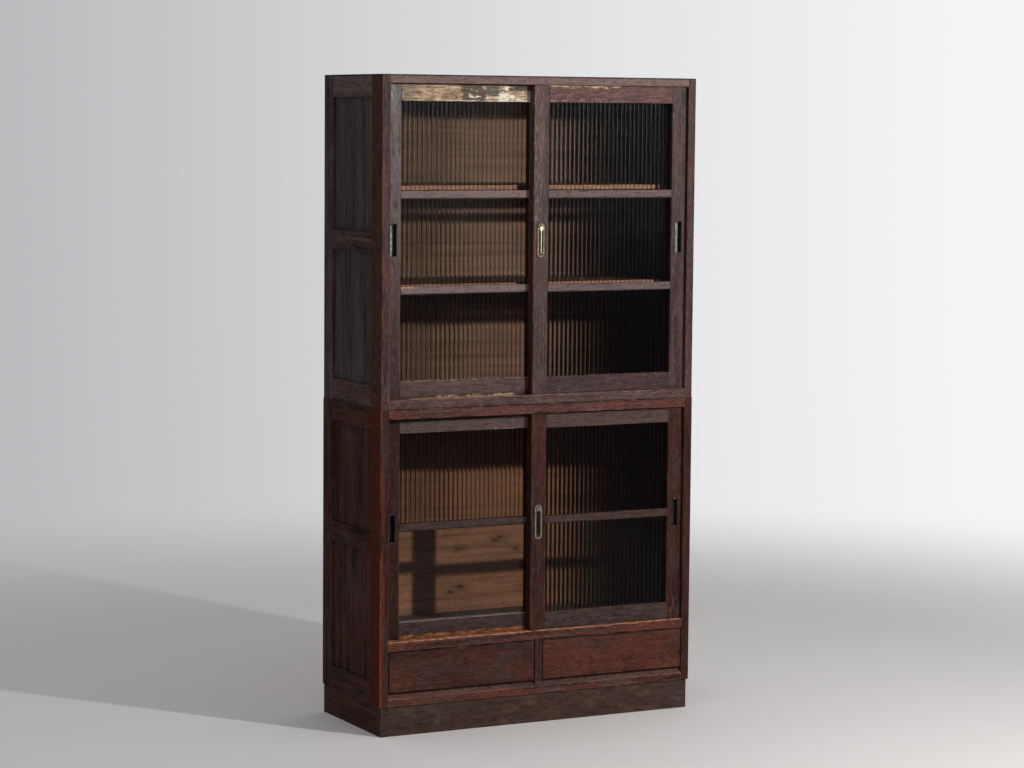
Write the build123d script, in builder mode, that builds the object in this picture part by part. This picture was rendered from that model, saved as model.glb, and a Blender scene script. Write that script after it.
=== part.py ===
from build123d import *
import os

# A mizuya kitchen cabinet: an upper glazed case stands loose on a lower glazed case with two
# drawers and a plinth. Every door slides on its own track behind the front rails.
# Frame: x to the right, y to the back, z up, origin on the floor under the middle. Millimetres.

os.makedirs("parts", exist_ok=True)

# ---- Driving dimensions: the two cases ----
width = 909.0
depth = 362.0
plinth_height = 77.0
lower_height = 761.5
upper_height = 843.5
case_step = 1.5  # the lower case stands this far proud at each side
plinth_side_inset = 4.5
plinth_front_inset = 5.0
plinth_thickness = 18.0

# Side frames: posts, rails and a loose panel in a groove
frame_thickness = 22.0
front_post_depth = 65.0
rear_post_depth = 56.0
panel_thickness = 6.0
panel_recess = 7.0
panel_tongue = 8.0
side_tenon_length = 25.0
side_tenon_thickness = 8.0
side_tenon_shoulder = 12.0
upper_side_base = 56.5
upper_side_middle = 52.0
upper_side_middle_height = 392.5
upper_side_top = 58.0
lower_side_base = 59.0
lower_side_middle = 50.0
lower_side_middle_height = 393.0
lower_side_top = 55.5

# Front rails: drawer rail, sills with door tracks, head rails with door grooves
drawer_rail_height = 33.0
drawer_opening_height = 109.0
lower_sill_height = 24.5
lower_head_height = 25.0
upper_sill_height = 23.5
upper_head_height = 22.0
cross_tenon_length = 15.0
cross_tenon_width = 10.0
cross_tenon_shoulder = 4.0
sill_groove_depth = 3.0
head_groove_depth = 14.0
groove_clearance = 0.5
finger_bevel_height = 14.0
finger_bevel_depth = 12.0
arris = 1.0

# Boards that close and divide the cases
board_thickness = 10.0
board_lap = 8.0
floor_thickness = 9.0
floor_lap = 6.0
back_thickness = 12.0
back_lap = 10.0
back_rail_thickness = 22.0
back_rail_height = 40.0
deck_rail_height = 25.0
plank_gap = 0.6
shelf_thickness = 11.0
shelf_setback = 60.0
low_shelf_height = 300.5
high_shelf_height = 552.5
shelf_end_gap = 0.5
batten_height = 15.0
batten_reach = 6.0

# Doors
door_thickness = 20.0
door_setback = 9.0
door_spacing = 2.0
stile_width = 43.0
post_gap = 0.3
foot_gap = 0.5
head_gap = 1.0
foot_tongue = 2.7
head_tongue = 9.0
tongue_thickness = 8.0
bottom_rail_height = 45.0
upper_door_top_rail = 44.0
lower_door_top_rail = 40.0
muntin_height = 20.0
muntin_bevel = 3.0
upper_muntin_heights = (275.0, 517.5)
lower_muntin_heights = (287.5,)
glass_thickness = 3.0
glass_lap = 6.0
door_tenon_length = 25.0
muntin_tenon_length = 10.0
door_tenon_thickness = 7.0
door_tenon_cheek = 1.0

# Finger pulls let into the outer stiles
pull_wall = 1.0
pull_depth = 11.0
pull_rim_thickness = 0.8
upper_pull_width = 19.0
upper_pull_length = 81.0
upper_pull_rim = 1.5
upper_pull_height = 403.0
lower_pull_width = 17.0
lower_pull_length = 70.0
lower_pull_rim = 2.5
lower_pull_height = 286.5

# Screw locks with a folding rod handle, let into the meeting stiles
lock_plate_width = 24.0
lock_plate_thickness = 1.2
upper_lock_length = 87.0
lower_lock_length = 90.0
upper_lock_corner = 2.5
lower_lock_corner = 8.0
trough_width = 10.0
trough_depth = 4.0
trough_margin = 6.0
trough_wall = 1.0
boss_diameter = 12.0
boss_clearance = 0.5
boss_proud = 4.0
boss_drop = 13.0
boss_round = 1.5
handle_diameter = 5.0
handle_length = 65.0
handle_proud = 1.0
handle_end_flat = 0.5
eye_diameter = 6.0
eye_width = 4.0
neck_length = 7.0
fork_clearance = 0.3
pivot_diameter = 2.0
pivot_clearance = 0.2
bolt_diameter = 8.0
bolt_clearance = 0.5
bolt_tip_gap = 0.5
socket_flange_diameter = 16.0
socket_flange_thickness = 1.0
socket_diameter = 12.0
socket_length = 10.0

# Drawers and what they run on
divider_width = 20.0
divider_tenon = 8.0
drawer_side_gap = 1.5
drawer_foot_gap = 2.0
drawer_head_gap = 1.2
drawer_face_setback = 0.5
drawer_front_thickness = 18.0
drawer_side_thickness = 12.0
drawer_side_height = 95.0
drawer_side_rebate = 8.0
drawer_end_gap = 15.5
drawer_bottom_thickness = 6.0
drawer_bottom_height = 8.0
drawer_bottom_lap = 5.0
nail_line_gap = 0.1
runner_gap = 0.3
runner_width = 18.0
guide_height = 12.0


# ---- Small helpers ----
def span(middle, size):
    """The two ends of a length centred on a place."""
    return (middle - size / 2, middle + size / 2)


def middle(ends):
    """The middle between two ends."""
    return (ends[0] + ends[1]) / 2


def block(x, y, z, mode=Mode.ADD):
    """A squared timber, or a squared cut, between its two ends along x, y and z."""
    with Locations((middle(x), middle(y), middle(z))):
        Box(x[1] - x[0], y[1] - y[0], z[1] - z[0], mode=mode)


def cut(*boxes):
    """Take the room of each board, tenon or tongue out of the timber that houses it."""
    for box in boxes:
        block(*box, mode=Mode.SUBTRACT)


def across(half):
    """A length centred on the middle of the cabinet."""
    return (-half, half)


def write(piece, name):
    """Label one finished piece, or group of like pieces, and write it out."""
    piece.part.label = name
    export_step(piece.part, f"parts/{name}.step")


# ---- Places worked out from the driving dimensions ----
front = -depth / 2
back = depth / 2
upper_half = width / 2
lower_half = upper_half + case_step
opening_half = upper_half - frame_thickness
opening_x = across(opening_half)

lower_base = plinth_height
lower_top = lower_base + lower_height
upper_top = lower_top + upper_height
drawer_floor = lower_base + drawer_rail_height
drawer_ceiling = drawer_floor + drawer_opening_height
lower_foot = drawer_ceiling + lower_sill_height
lower_head = lower_top - lower_head_height
upper_foot = lower_top + upper_sill_height
upper_head = upper_top - upper_head_height

front_post_y = (front, front + front_post_depth)
rear_post_y = (back - rear_post_depth, back)
inside_back = back - back_thickness
back_rail_y = (inside_back - back_rail_thickness, inside_back)

front_door_y = (front + door_setback, front + door_setback + door_thickness)
rear_door_y = (front_door_y[1] + door_spacing, front_door_y[1] + door_spacing + door_thickness)
track_middle = (front_door_y[1] + rear_door_y[0]) / 2
groove_width = tongue_thickness + 2 * groove_clearance

# ---- Boards, as boxes that the timbers around them are cut to house ----
board_y = (front_post_y[1] - board_lap, inside_back)
floor_y = (front_post_y[1] - floor_lap, inside_back)
upper_top_board_box = (across(opening_half + board_lap), board_y, (upper_top - board_thickness, upper_top))
lower_top_board_box = (across(opening_half + board_lap), board_y, (lower_top - board_thickness, lower_top))
upper_floor_box = (across(opening_half + floor_lap), floor_y, (upper_foot - floor_thickness, upper_foot))
deck_box = (across(opening_half - shelf_end_gap), floor_y, (lower_foot - floor_thickness, lower_foot))
runner_z = (drawer_floor - batten_height, drawer_floor)
bottom_y = (front_post_y[1] - floor_lap, back_rail_y[0] + floor_lap)
bottom_box = (across(opening_half + floor_lap), bottom_y, (runner_z[0] - floor_thickness, runner_z[0]))
upper_back_box = (across(opening_half + back_lap), (inside_back, back), (lower_top, upper_top))
lower_back_box = (across(opening_half + back_lap), (inside_back, back), (lower_base, lower_top))


def cross_tenon(low, high):
    """Stub tenons at both ends of a front rail, on the land between the two door tracks."""
    return (
        across(opening_half + cross_tenon_length),
        span(track_middle, cross_tenon_width),
        (low + cross_tenon_shoulder, high - cross_tenon_shoulder),
    )


drawer_rail_tenon = cross_tenon(lower_base, drawer_floor)
lower_sill_tenon = cross_tenon(drawer_ceiling, lower_foot)
lower_head_tenon = cross_tenon(lower_head, lower_top)
upper_sill_tenon = cross_tenon(lower_top, upper_foot)
upper_head_tenon = cross_tenon(upper_head, upper_top)


# ---- Side frames ----
def side_frames(case, outer, base, top, rails, housings):
    """Both sides of one case: front posts, rear posts, rails and loose panels.

    The rails are z spans from the lowest to the highest, and the housings are the boxes of
    the boards and tenons that are let into the frames.
    """
    frame_x = (opening_half, outer)
    panel_x = (outer - panel_recess - panel_thickness, outer - panel_recess)
    panel_y = (front_post_y[1] - panel_tongue, rear_post_y[0] + panel_tongue)
    tenon_x = span(middle(panel_x), side_tenon_thickness)
    tenon_y = (front_post_y[1] - side_tenon_length, rear_post_y[0] + side_tenon_length)
    panels = [
        (panel_x, panel_y, (below[1] - panel_tongue, above[0] + panel_tongue))
        for below, above in zip(rails, rails[1:])
    ]
    tenons = [
        (tenon_x, tenon_y, (low + side_tenon_shoulder, high - side_tenon_shoulder)) for low, high in rails
    ]

    for end, post_y in (("front", front_post_y), ("rear", rear_post_y)):
        with BuildPart() as posts:
            block(frame_x, post_y, (base, top))
            cut(*panels, *tenons, *housings)
            outer_edges = posts.edges().filter_by(Axis.Z).group_by(Axis.X)[-1]
            chamfer(outer_edges, arris)
            mirror(about=Plane.YZ)
        write(posts, f"{case}_{end}_posts")

    with BuildPart() as side_rails:
        for rail, tenon in zip(rails, tenons):
            block(frame_x, (front_post_y[1], rear_post_y[0]), rail)
            block(*tenon)
        cut(*panels, *housings)
        mirror(about=Plane.YZ)
    write(side_rails, f"{case}_side_rails")

    with BuildPart() as side_panels:
        for panel in panels:
            block(*panel)
        mirror(about=Plane.YZ)
    write(side_panels, f"{case}_side_panels")


def middle_rail(base, height, size):
    """The z span of a side frame's middle rail."""
    return (base + height, base + height + size)


side_frames(
    "lower",
    lower_half,
    lower_base,
    lower_top,
    [
        (lower_base, lower_base + lower_side_base),
        middle_rail(lower_base, lower_side_middle_height, lower_side_middle),
        (lower_top - lower_side_top, lower_top),
    ],
    [
        lower_top_board_box,
        bottom_box,
        lower_back_box,
        drawer_rail_tenon,
        lower_sill_tenon,
        lower_head_tenon,
    ],
)
side_frames(
    "upper",
    upper_half,
    lower_top,
    upper_top,
    [
        (lower_top, lower_top + upper_side_base),
        middle_rail(lower_top, upper_side_middle_height, upper_side_middle),
        (upper_top - upper_side_top, upper_top),
    ],
    [upper_top_board_box, upper_floor_box, upper_back_box, upper_sill_tenon, upper_head_tenon],
)


# ---- Front rails ----
def grooved_rail(name, low, high, tenon, groove_z, board):
    """A head rail or a sill: one groove for each door, and a lap for the board behind it."""
    with BuildPart() as rail:
        block(opening_x, front_post_y, (low, high))
        block(*tenon)
        for door_y in (front_door_y, rear_door_y):
            cut((opening_x, span(middle(door_y), groove_width), groove_z))
        cut(board)
        front_edges = rail.edges().filter_by(Axis.X).group_by(Axis.Y)[0]
        chamfer(front_edges, arris)
    write(rail, name)


def head_groove(head):
    """A head groove is deep, so that a lifted door clears its sill and comes out."""
    return (head, head + head_groove_depth)


def sill_groove(foot):
    """A sill groove is shallow and only guides the door's foot."""
    return (foot - sill_groove_depth, foot)


grooved_rail(
    "upper_head_rail", upper_head, upper_top, upper_head_tenon, head_groove(upper_head), upper_top_board_box
)
grooved_rail("upper_sill", lower_top, upper_foot, upper_sill_tenon, sill_groove(upper_foot), upper_floor_box)
grooved_rail(
    "lower_head_rail", lower_head, lower_top, lower_head_tenon, head_groove(lower_head), lower_top_board_box
)

divider_x = across(divider_width / 2)
divider_tenon_box = (
    across(divider_width / 2 - side_tenon_thickness / 2),
    span(middle(front_post_y), front_post_depth / 2),
    (drawer_floor - divider_tenon, drawer_ceiling + divider_tenon),
)

with BuildPart() as lower_sill:
    block(opening_x, front_post_y, (drawer_ceiling, lower_foot))
    block(*lower_sill_tenon)
    for door_y in (front_door_y, rear_door_y):
        cut((opening_x, span(middle(door_y), groove_width), sill_groove(lower_foot)))
    cut(deck_box, divider_tenon_box)
    chamfer(lower_sill.edges().filter_by(Axis.X).group_by(Axis.Y)[0], arris)
write(lower_sill, "lower_sill")

# The bevel under each drawer lets the fingers reach its lower edge
with BuildPart() as drawer_rail:
    block(opening_x, front_post_y, (lower_base, drawer_floor))
    block(*drawer_rail_tenon)
    cut(bottom_box, divider_tenon_box)
    for start in (-opening_half, divider_width / 2):
        with BuildSketch(Plane.YZ.offset(start)):
            with BuildLine():
                Polyline(
                    (front, drawer_floor - finger_bevel_height),
                    (front, drawer_floor),
                    (front + finger_bevel_depth, drawer_floor),
                    close=True,
                )
            make_face()
        extrude(amount=opening_half - divider_width / 2, mode=Mode.SUBTRACT)
write(drawer_rail, "drawer_rail")

with BuildPart() as drawer_divider:
    block(divider_x, front_post_y, (drawer_floor, drawer_ceiling))
    block(*divider_tenon_box)
write(drawer_divider, "drawer_divider")

# ---- Plinth ----
plinth_half = lower_half - plinth_side_inset
plinth_front = front + plinth_front_inset
plinth_z = (0, plinth_height)

with BuildPart() as plinth_long_boards:
    for board_front in (plinth_front, back - plinth_thickness):
        block(across(plinth_half), (board_front, board_front + plinth_thickness), plinth_z)
write(plinth_long_boards, "plinth_front_and_back")

with BuildPart() as plinth_end_boards:
    block(
        (plinth_half - plinth_thickness, plinth_half),
        (plinth_front + plinth_thickness, back - plinth_thickness),
        plinth_z,
    )
    mirror(about=Plane.YZ)
write(plinth_end_boards, "plinth_ends")


# ---- Boards inside the cases ----
def single_board(name, box):
    """A plain board that fills one box."""
    with BuildPart() as board:
        block(*box)
    write(board, name)


single_board("upper_top_board", upper_top_board_box)
single_board("lower_top_board", lower_top_board_box)
single_board("upper_floor", upper_floor_box)
single_board("lower_floor", deck_box)
single_board("drawer_case_bottom", bottom_box)

low_shelf_z = (lower_top + low_shelf_height, lower_top + low_shelf_height + shelf_thickness)
high_shelf_z = (lower_top + high_shelf_height, lower_top + high_shelf_height + shelf_thickness)
shelf_x = across(opening_half - shelf_end_gap)
shelf_y = (front + shelf_setback, inside_back)

with BuildPart() as shelves:
    for shelf_z in (low_shelf_z, high_shelf_z):
        block(shelf_x, shelf_y, shelf_z)
write(shelves, "shelves")


def battens(name, outer, seats):
    """Battens between the posts, against the side panels, under each board in seats."""
    panel_face = outer - panel_recess - panel_thickness
    with BuildPart() as pieces:
        for seat in seats:
            block(
                (opening_half - batten_reach, panel_face),
                (front_post_y[1], rear_post_y[0]),
                (seat - batten_height, seat),
            )
        mirror(about=Plane.YZ)
    write(pieces, name)


battens("shelf_battens", upper_half, (low_shelf_z[0], high_shelf_z[0]))
battens("lower_floor_battens", lower_half, (deck_box[2][0],))


# ---- Backs: rails between the rear posts, and planks nailed over them from behind ----
def back_rails(name, heights):
    """Rails between the rear posts."""
    with BuildPart() as rails:
        for low, high in heights:
            block(opening_x, back_rail_y, (low, high))
        if name == "lower_back_rails":
            cut(bottom_box)
    write(rails, name)


upper_rail_top = upper_top - board_thickness
lower_rail_top = lower_top - board_thickness
back_rails(
    "upper_back_rails",
    [(lower_top, upper_floor_box[2][0]), (upper_rail_top - back_rail_height, upper_rail_top)],
)
back_rails(
    "lower_back_rails",
    [
        (lower_base, lower_base + back_rail_height),
        (deck_box[2][0] - deck_rail_height, deck_box[2][0]),
        (lower_rail_top - back_rail_height, lower_rail_top),
    ],
)


def back_planks(name, box, joints):
    """Horizontal planks of uneven width that have shrunk apart at their joints."""
    x, y, z = box
    edges = [z[0] - plank_gap / 2, *joints, z[1] + plank_gap / 2]
    with BuildPart() as planks:
        for low, high in zip(edges, edges[1:]):
            block(x, y, (low + plank_gap / 2, high - plank_gap / 2))
    write(planks, name)


upper_plank_joints = (lower_top + 304.5, lower_top + 399.5, lower_top + 557.5)
lower_plank_joints = (lower_foot, lower_foot + 280.5)
back_planks("upper_back_planks", upper_back_box, upper_plank_joints)
back_planks("lower_back_planks", lower_back_box, lower_plank_joints)


# ---- Round rods and holes ----
def rod_along_y(centre, diameter, y, mode=Mode.ADD):
    """A round rod, or a round hole, from front to back. The centre is its x and z."""
    with BuildSketch(Plane.XZ.offset(-y[0])) as section:
        with Locations(centre):
            Circle(diameter / 2)
    extrude(section.sketch, amount=-(y[1] - y[0]), mode=mode)


# ---- Sliding doors ----
def door(name, x, y, foot, head, top_rail_height, muntin_heights, pockets, bores):
    """One glazed door: two stiles, its rails and muntins, and its panes.

    The pockets are boxes sunk into the stiles for the pull and the lock. The bores are round
    holes for the lock, each with its middle (x, z), its diameter and its y span.
    """
    body_z = (foot + foot_gap, head - head_gap)
    tongue_z = (body_z[0] - foot_tongue, body_z[1] + head_tongue)
    tongue_y = span(middle(y), tongue_thickness)
    light_x = (x[0] + stile_width, x[1] - stile_width)
    muntins = [span(foot + height, muntin_height) for height in muntin_heights]
    rails = [(body_z[0], foot + bottom_rail_height), *muntins, (head - top_rail_height, body_z[1])]
    pane_x = (light_x[0] - glass_lap, light_x[1] + glass_lap)
    pane_y = span(middle(y), glass_thickness)
    panes = [
        (pane_x, pane_y, (below[1] - glass_lap, above[0] + glass_lap))
        for below, above in zip(rails, rails[1:])
    ]
    tenon_y = span(middle(y), door_tenon_thickness)
    tenon_cheek = glass_lap + door_tenon_cheek
    tenons = []
    for low, high in rails:
        reach = muntin_tenon_length if (low, high) in muntins else door_tenon_length
        tenon_x = (light_x[0] - reach, light_x[1] + reach)
        tenons.append((tenon_x, tenon_y, (low + tenon_cheek, high - tenon_cheek)))

    with BuildPart() as stiles:
        for stile_x in ((x[0], light_x[0]), (light_x[1], x[1])):
            block(stile_x, y, body_z)
            block(stile_x, tongue_y, tongue_z)
        chamfer(stiles.edges().filter_by(Axis.Z).group_by(Axis.Y)[0], arris)
        cut(*panes, *tenons, *pockets)
        for centre, diameter, bore_y in bores:
            rod_along_y(centre, diameter, bore_y, Mode.SUBTRACT)
    write(stiles, f"{name}_stiles")

    with BuildPart() as door_rails:
        for rail_z in rails:
            block(light_x, y, rail_z)
        block(light_x, tongue_y, (tongue_z[0], body_z[0]))
        block(light_x, tongue_y, (body_z[1], tongue_z[1]))
        for tenon in tenons:
            block(*tenon)
        cut(*panes)
        front_edges = door_rails.edges().filter_by(Axis.X).group_by(Axis.Y)[0]
        for low, _high in muntins:
            chamfer(front_edges.filter_by_position(Axis.Z, low - arris, low + arris), muntin_bevel)
    write(door_rails, f"{name}_rails")

    with BuildPart() as glass:
        for pane in panes:
            block(*pane)
    write(glass, f"{name}_panes")


# ---- Finger pulls ----
def pull_cup(centre, face, width, length):
    """The box of a pull's cup behind the door's face."""
    return (
        span(centre[0], width + 2 * pull_wall),
        (face, face + pull_depth + pull_wall),
        span(centre[1], length + 2 * pull_wall),
    )


def pull(name, centre, face, width, length, rim):
    """A pressed metal finger pull: a thin rim on the door's face and a cup behind it."""
    rim_front = face - pull_rim_thickness
    with BuildPart() as cup:
        block(*pull_cup(centre, face, width, length))
        block(span(centre[0], width + 2 * rim), (rim_front, face), span(centre[1], length + 2 * rim))
        cut((span(centre[0], width), (rim_front, face + pull_depth), span(centre[1], length)))
    write(cup, name)


# ---- Screw locks ----
def lock_body(centre, face, length):
    """The box of a lock's trough behind the door's face."""
    return (
        span(centre[0], boss_diameter + 2 * (boss_clearance + trough_wall)),
        (face, face + trough_depth + trough_wall),
        span(centre[1], length - 2 * trough_margin + 2 * trough_wall),
    )


def lock(name, centre, pivot, y, length, corner):
    """A screw lock: a plate with a trough, a screw with a forked boss, and the folding handle.

    The screw stands drawn back into its stile, and the handle hangs in the trough.
    """
    face = y[0]
    trough_floor = face + trough_depth
    trough_end = (centre[0], centre[1] - length / 2 + trough_margin + trough_width / 2)
    pivot_y = face - handle_proud

    with BuildPart() as plate:
        block(*lock_body(centre, face, length))
        with BuildSketch(Plane.XZ.offset(-face)):
            with Locations(centre):
                RectangleRounded(lock_plate_width, length, corner)
        extrude(amount=lock_plate_thickness)
        with BuildSketch(Plane.XZ.offset(lock_plate_thickness - face)):
            with Locations((centre[0], middle((trough_end[1], pivot[1])))):
                Rectangle(trough_width, pivot[1] - trough_end[1])
            with Locations(trough_end):
                Circle(trough_width / 2)
            with Locations(pivot):
                Circle(boss_diameter / 2 + boss_clearance)
        extrude(amount=-(lock_plate_thickness + trough_depth), mode=Mode.SUBTRACT)
        screw_hole = bolt_diameter + 2 * bolt_clearance
        rod_along_y(pivot, screw_hole, (trough_floor, trough_floor + trough_wall), Mode.SUBTRACT)
    write(plate, f"{name}_plate")

    fork = (
        span(centre[0], eye_width + 2 * fork_clearance),
        (face - boss_proud, pivot_y + eye_diameter / 2 + fork_clearance),
        (pivot[1] - boss_diameter / 2, pivot[1] + eye_diameter / 2 + fork_clearance),
    )
    pin_length = boss_diameter - 2 * boss_round
    with BuildPart() as screw:
        rod_along_y(pivot, boss_diameter, (face - boss_proud, trough_floor))
        fillet(screw.faces().sort_by(Axis.Y)[0].edges(), boss_round)
        cut(fork)
        rod_along_y(pivot, bolt_diameter, (trough_floor, y[1] - bolt_tip_gap))
        with BuildSketch(Plane.YZ.offset(centre[0] - pin_length / 2)):
            with Locations((pivot_y, pivot[1])):
                Circle(pivot_diameter / 2)
        extrude(amount=pin_length)
    write(screw, f"{name}_screw")

    with BuildPart() as handle:
        with BuildSketch(Plane.YZ.offset(centre[0] - eye_width / 2)):
            with Locations((pivot_y, pivot[1])):
                Circle(eye_diameter / 2)
            with Locations((pivot_y, pivot[1] - neck_length / 2)):
                Rectangle(eye_width, neck_length)
            with Locations((pivot_y, pivot[1])):
                Circle(pivot_diameter / 2 + pivot_clearance, mode=Mode.SUBTRACT)
        extrude(amount=eye_width)
        with BuildSketch(Plane.XY.offset(pivot[1] - neck_length)):
            with Locations((centre[0], pivot_y)):
                Circle(handle_diameter / 2)
        extrude(amount=-(handle_length - neck_length))
        fillet(handle.faces().sort_by(Axis.Z)[0].edges(), handle_diameter / 2 - handle_end_flat)
    write(handle, f"{name}_handle")


def lock_socket(name, pivot, face):
    """The threaded socket that the screw reaches, let into the rear door's meeting stile."""
    tube_y = (face, face + socket_flange_thickness + socket_length)
    with BuildPart() as socket:
        rod_along_y(pivot, socket_flange_diameter, (face, face + socket_flange_thickness))
        rod_along_y(pivot, socket_diameter, tube_y)
        rod_along_y(pivot, bolt_diameter + 2 * bolt_clearance, tube_y, Mode.SUBTRACT)
    write(socket, name)


# ---- The pair of doors of one case ----
door_reach = opening_half - post_gap
outer_stile_middle = door_reach - stile_width / 2
left_door_x = (-door_reach, stile_width / 2)
right_door_x = (-stile_width / 2, door_reach)


def pair_of_doors(case, foot, head, top_rail, muntin_heights, pull_shape, pull_height, lock_shape):
    """The rear track carries the left door and the front track the right door with the lock.

    The pull's shape is its width, length and rim, and the lock's its length and corner radius.
    """
    pull_width, pull_length, _rim = pull_shape
    lock_length, lock_corner = lock_shape
    left_pull = (-outer_stile_middle, foot + pull_height)
    right_pull = (outer_stile_middle, foot + pull_height)
    lock_centre = (0, middle((foot, head)))
    pivot = (0, lock_centre[1] + lock_length / 2 - boss_drop)
    rear_face = rear_door_y[0]
    front_face = front_door_y[0]
    flange_end = rear_face + socket_flange_thickness

    door(
        f"{case}_left_door",
        left_door_x,
        rear_door_y,
        foot,
        head,
        top_rail,
        muntin_heights,
        [pull_cup(left_pull, rear_face, pull_width, pull_length)],
        [
            (pivot, socket_flange_diameter, (rear_face, flange_end)),
            (pivot, socket_diameter, (flange_end, flange_end + socket_length)),
        ],
    )
    door(
        f"{case}_right_door",
        right_door_x,
        front_door_y,
        foot,
        head,
        top_rail,
        muntin_heights,
        [
            pull_cup(right_pull, front_face, pull_width, pull_length),
            lock_body(lock_centre, front_face, lock_length),
        ],
        [(pivot, bolt_diameter + 2 * bolt_clearance, front_door_y)],
    )
    pull(f"{case}_left_pull", left_pull, rear_face, *pull_shape)
    pull(f"{case}_right_pull", right_pull, front_face, *pull_shape)
    lock(f"{case}_lock", lock_centre, pivot, front_door_y, lock_length, lock_corner)
    lock_socket(f"{case}_lock_socket", pivot, rear_face)


pair_of_doors(
    "upper",
    upper_foot,
    upper_head,
    upper_door_top_rail,
    upper_muntin_heights,
    (upper_pull_width, upper_pull_length, upper_pull_rim),
    upper_pull_height,
    (upper_lock_length, upper_lock_corner),
)
pair_of_doors(
    "lower",
    lower_foot,
    lower_head,
    lower_door_top_rail,
    lower_muntin_heights,
    (lower_pull_width, lower_pull_length, lower_pull_rim),
    lower_pull_height,
    (lower_lock_length, lower_lock_corner),
)

# ---- Drawers ----
drawer_face = front + drawer_face_setback
drawer_front_y = (drawer_face, drawer_face + drawer_front_thickness)
drawer_side_y = (drawer_face + drawer_side_rebate, back_rail_y[0] - drawer_end_gap)
drawer_front_z = (drawer_floor + drawer_foot_gap, drawer_ceiling - drawer_head_gap)
drawer_side_z = (drawer_floor + runner_gap, drawer_floor + runner_gap + drawer_side_height)
drawer_bottom_low = drawer_side_z[0] + drawer_bottom_height
drawer_bottom_z = (drawer_bottom_low, drawer_bottom_low + drawer_bottom_thickness)


def drawer(name, x):
    """A drawer without a handle: a front, two sides and a back, and a bottom in a groove."""
    inside_x = (x[0] + drawer_side_thickness, x[1] - drawer_side_thickness)
    side_boxes = [
        ((x[0], inside_x[0]), drawer_side_y, drawer_side_z),
        ((inside_x[1], x[1]), drawer_side_y, drawer_side_z),
    ]
    bottom_box_of_drawer = (
        (inside_x[0] - drawer_bottom_lap, inside_x[1] + drawer_bottom_lap),
        (drawer_front_y[1] - drawer_bottom_lap, drawer_side_y[1]),
        drawer_bottom_z,
    )
    with BuildPart() as face_board:
        block(x, drawer_front_y, drawer_front_z)
        cut(*side_boxes, bottom_box_of_drawer)
        chamfer(face_board.edges().group_by(Axis.Y)[0], arris)
    write(face_board, f"{name}_front")

    with BuildPart() as box:
        for side in side_boxes:
            block(*side)
        block(
            (inside_x[0] + nail_line_gap, inside_x[1] - nail_line_gap),
            (drawer_side_y[1] - drawer_side_thickness, drawer_side_y[1]),
            (drawer_bottom_z[1], drawer_side_z[1]),
        )
        cut(bottom_box_of_drawer)
    write(box, f"{name}_sides_and_back")

    single_board(f"{name}_bottom", bottom_box_of_drawer)


drawer_reach = opening_half - drawer_side_gap
drawer_inner = divider_width / 2 + drawer_side_gap
drawer("left_drawer", (-drawer_reach, -drawer_inner))
drawer("right_drawer", (drawer_inner, drawer_reach))

# Runners under the drawers' sides, the middle one with a guide between the drawers
runner_y = (front_post_y[1], back_rail_y[0])
with BuildPart() as drawer_runners:
    block((opening_half - runner_width, opening_half), runner_y, runner_z)
    mirror(about=Plane.YZ)
    block(across(divider_width / 2 + runner_width), runner_y, runner_z)
    block(divider_x, runner_y, (drawer_floor, drawer_floor + guide_height))
write(drawer_runners, "drawer_runners")
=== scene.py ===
# %% [markdown]
# # A mizuya kitchen cabinet
# The cabinet is two glazed cases, one on the other, in dark stained wood that a century of hands
# has worn. Its construction model comes in as a fixed frame: every timber, lock part and pane is
# already in its place. This lesson gives each of them its finish, and models what plain blocks
# can't show: the window glass, most of it reeded, and the nails of the lower finger pulls.

# %% Load the frame
import math

import bmesh
import bpy
from mathutils import Matrix, Vector


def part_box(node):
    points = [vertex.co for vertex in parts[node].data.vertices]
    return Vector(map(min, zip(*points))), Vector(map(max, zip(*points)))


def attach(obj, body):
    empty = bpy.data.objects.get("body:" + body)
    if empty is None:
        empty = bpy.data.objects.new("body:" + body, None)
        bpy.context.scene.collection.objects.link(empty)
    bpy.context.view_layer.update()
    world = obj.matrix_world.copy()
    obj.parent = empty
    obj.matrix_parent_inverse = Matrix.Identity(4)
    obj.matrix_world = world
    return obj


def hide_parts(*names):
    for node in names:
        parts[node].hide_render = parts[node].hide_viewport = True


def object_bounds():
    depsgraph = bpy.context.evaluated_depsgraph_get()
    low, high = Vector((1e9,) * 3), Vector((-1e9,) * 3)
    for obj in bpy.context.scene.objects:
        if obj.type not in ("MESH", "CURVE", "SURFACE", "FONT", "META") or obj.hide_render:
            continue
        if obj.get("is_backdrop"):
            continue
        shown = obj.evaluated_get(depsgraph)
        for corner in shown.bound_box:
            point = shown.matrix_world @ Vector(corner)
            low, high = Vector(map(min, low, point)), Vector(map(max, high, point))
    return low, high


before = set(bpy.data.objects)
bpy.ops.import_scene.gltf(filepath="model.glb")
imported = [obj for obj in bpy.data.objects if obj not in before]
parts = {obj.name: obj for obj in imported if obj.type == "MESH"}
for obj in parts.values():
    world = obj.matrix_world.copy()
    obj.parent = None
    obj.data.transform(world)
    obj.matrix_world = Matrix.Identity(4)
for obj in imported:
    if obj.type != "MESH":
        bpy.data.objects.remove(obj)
scene = bpy.context.scene
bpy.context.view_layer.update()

# %% [markdown]
# ## The camera
# A tall cabinet is seen with a long lens from standing eye height, a little to its left, so that
# its front and one side show. The camera's axes are worked out from three angles, which are
# easier to adjust than a rotation matrix.

# %% Camera
CAMERA_PLACE = Vector((-3.46402, -6.69248, 1.58175))
CAMERA_YAW = math.radians(27.4264)
CAMERA_PITCH = math.radians(5.3674)
CAMERA_ROLL = math.radians(0.4976)
SENSOR_WIDTH = 36.0
PICTURE_WIDTH_PX = 1024
FOCAL_LENGTH_PX = 2860.51

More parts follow.
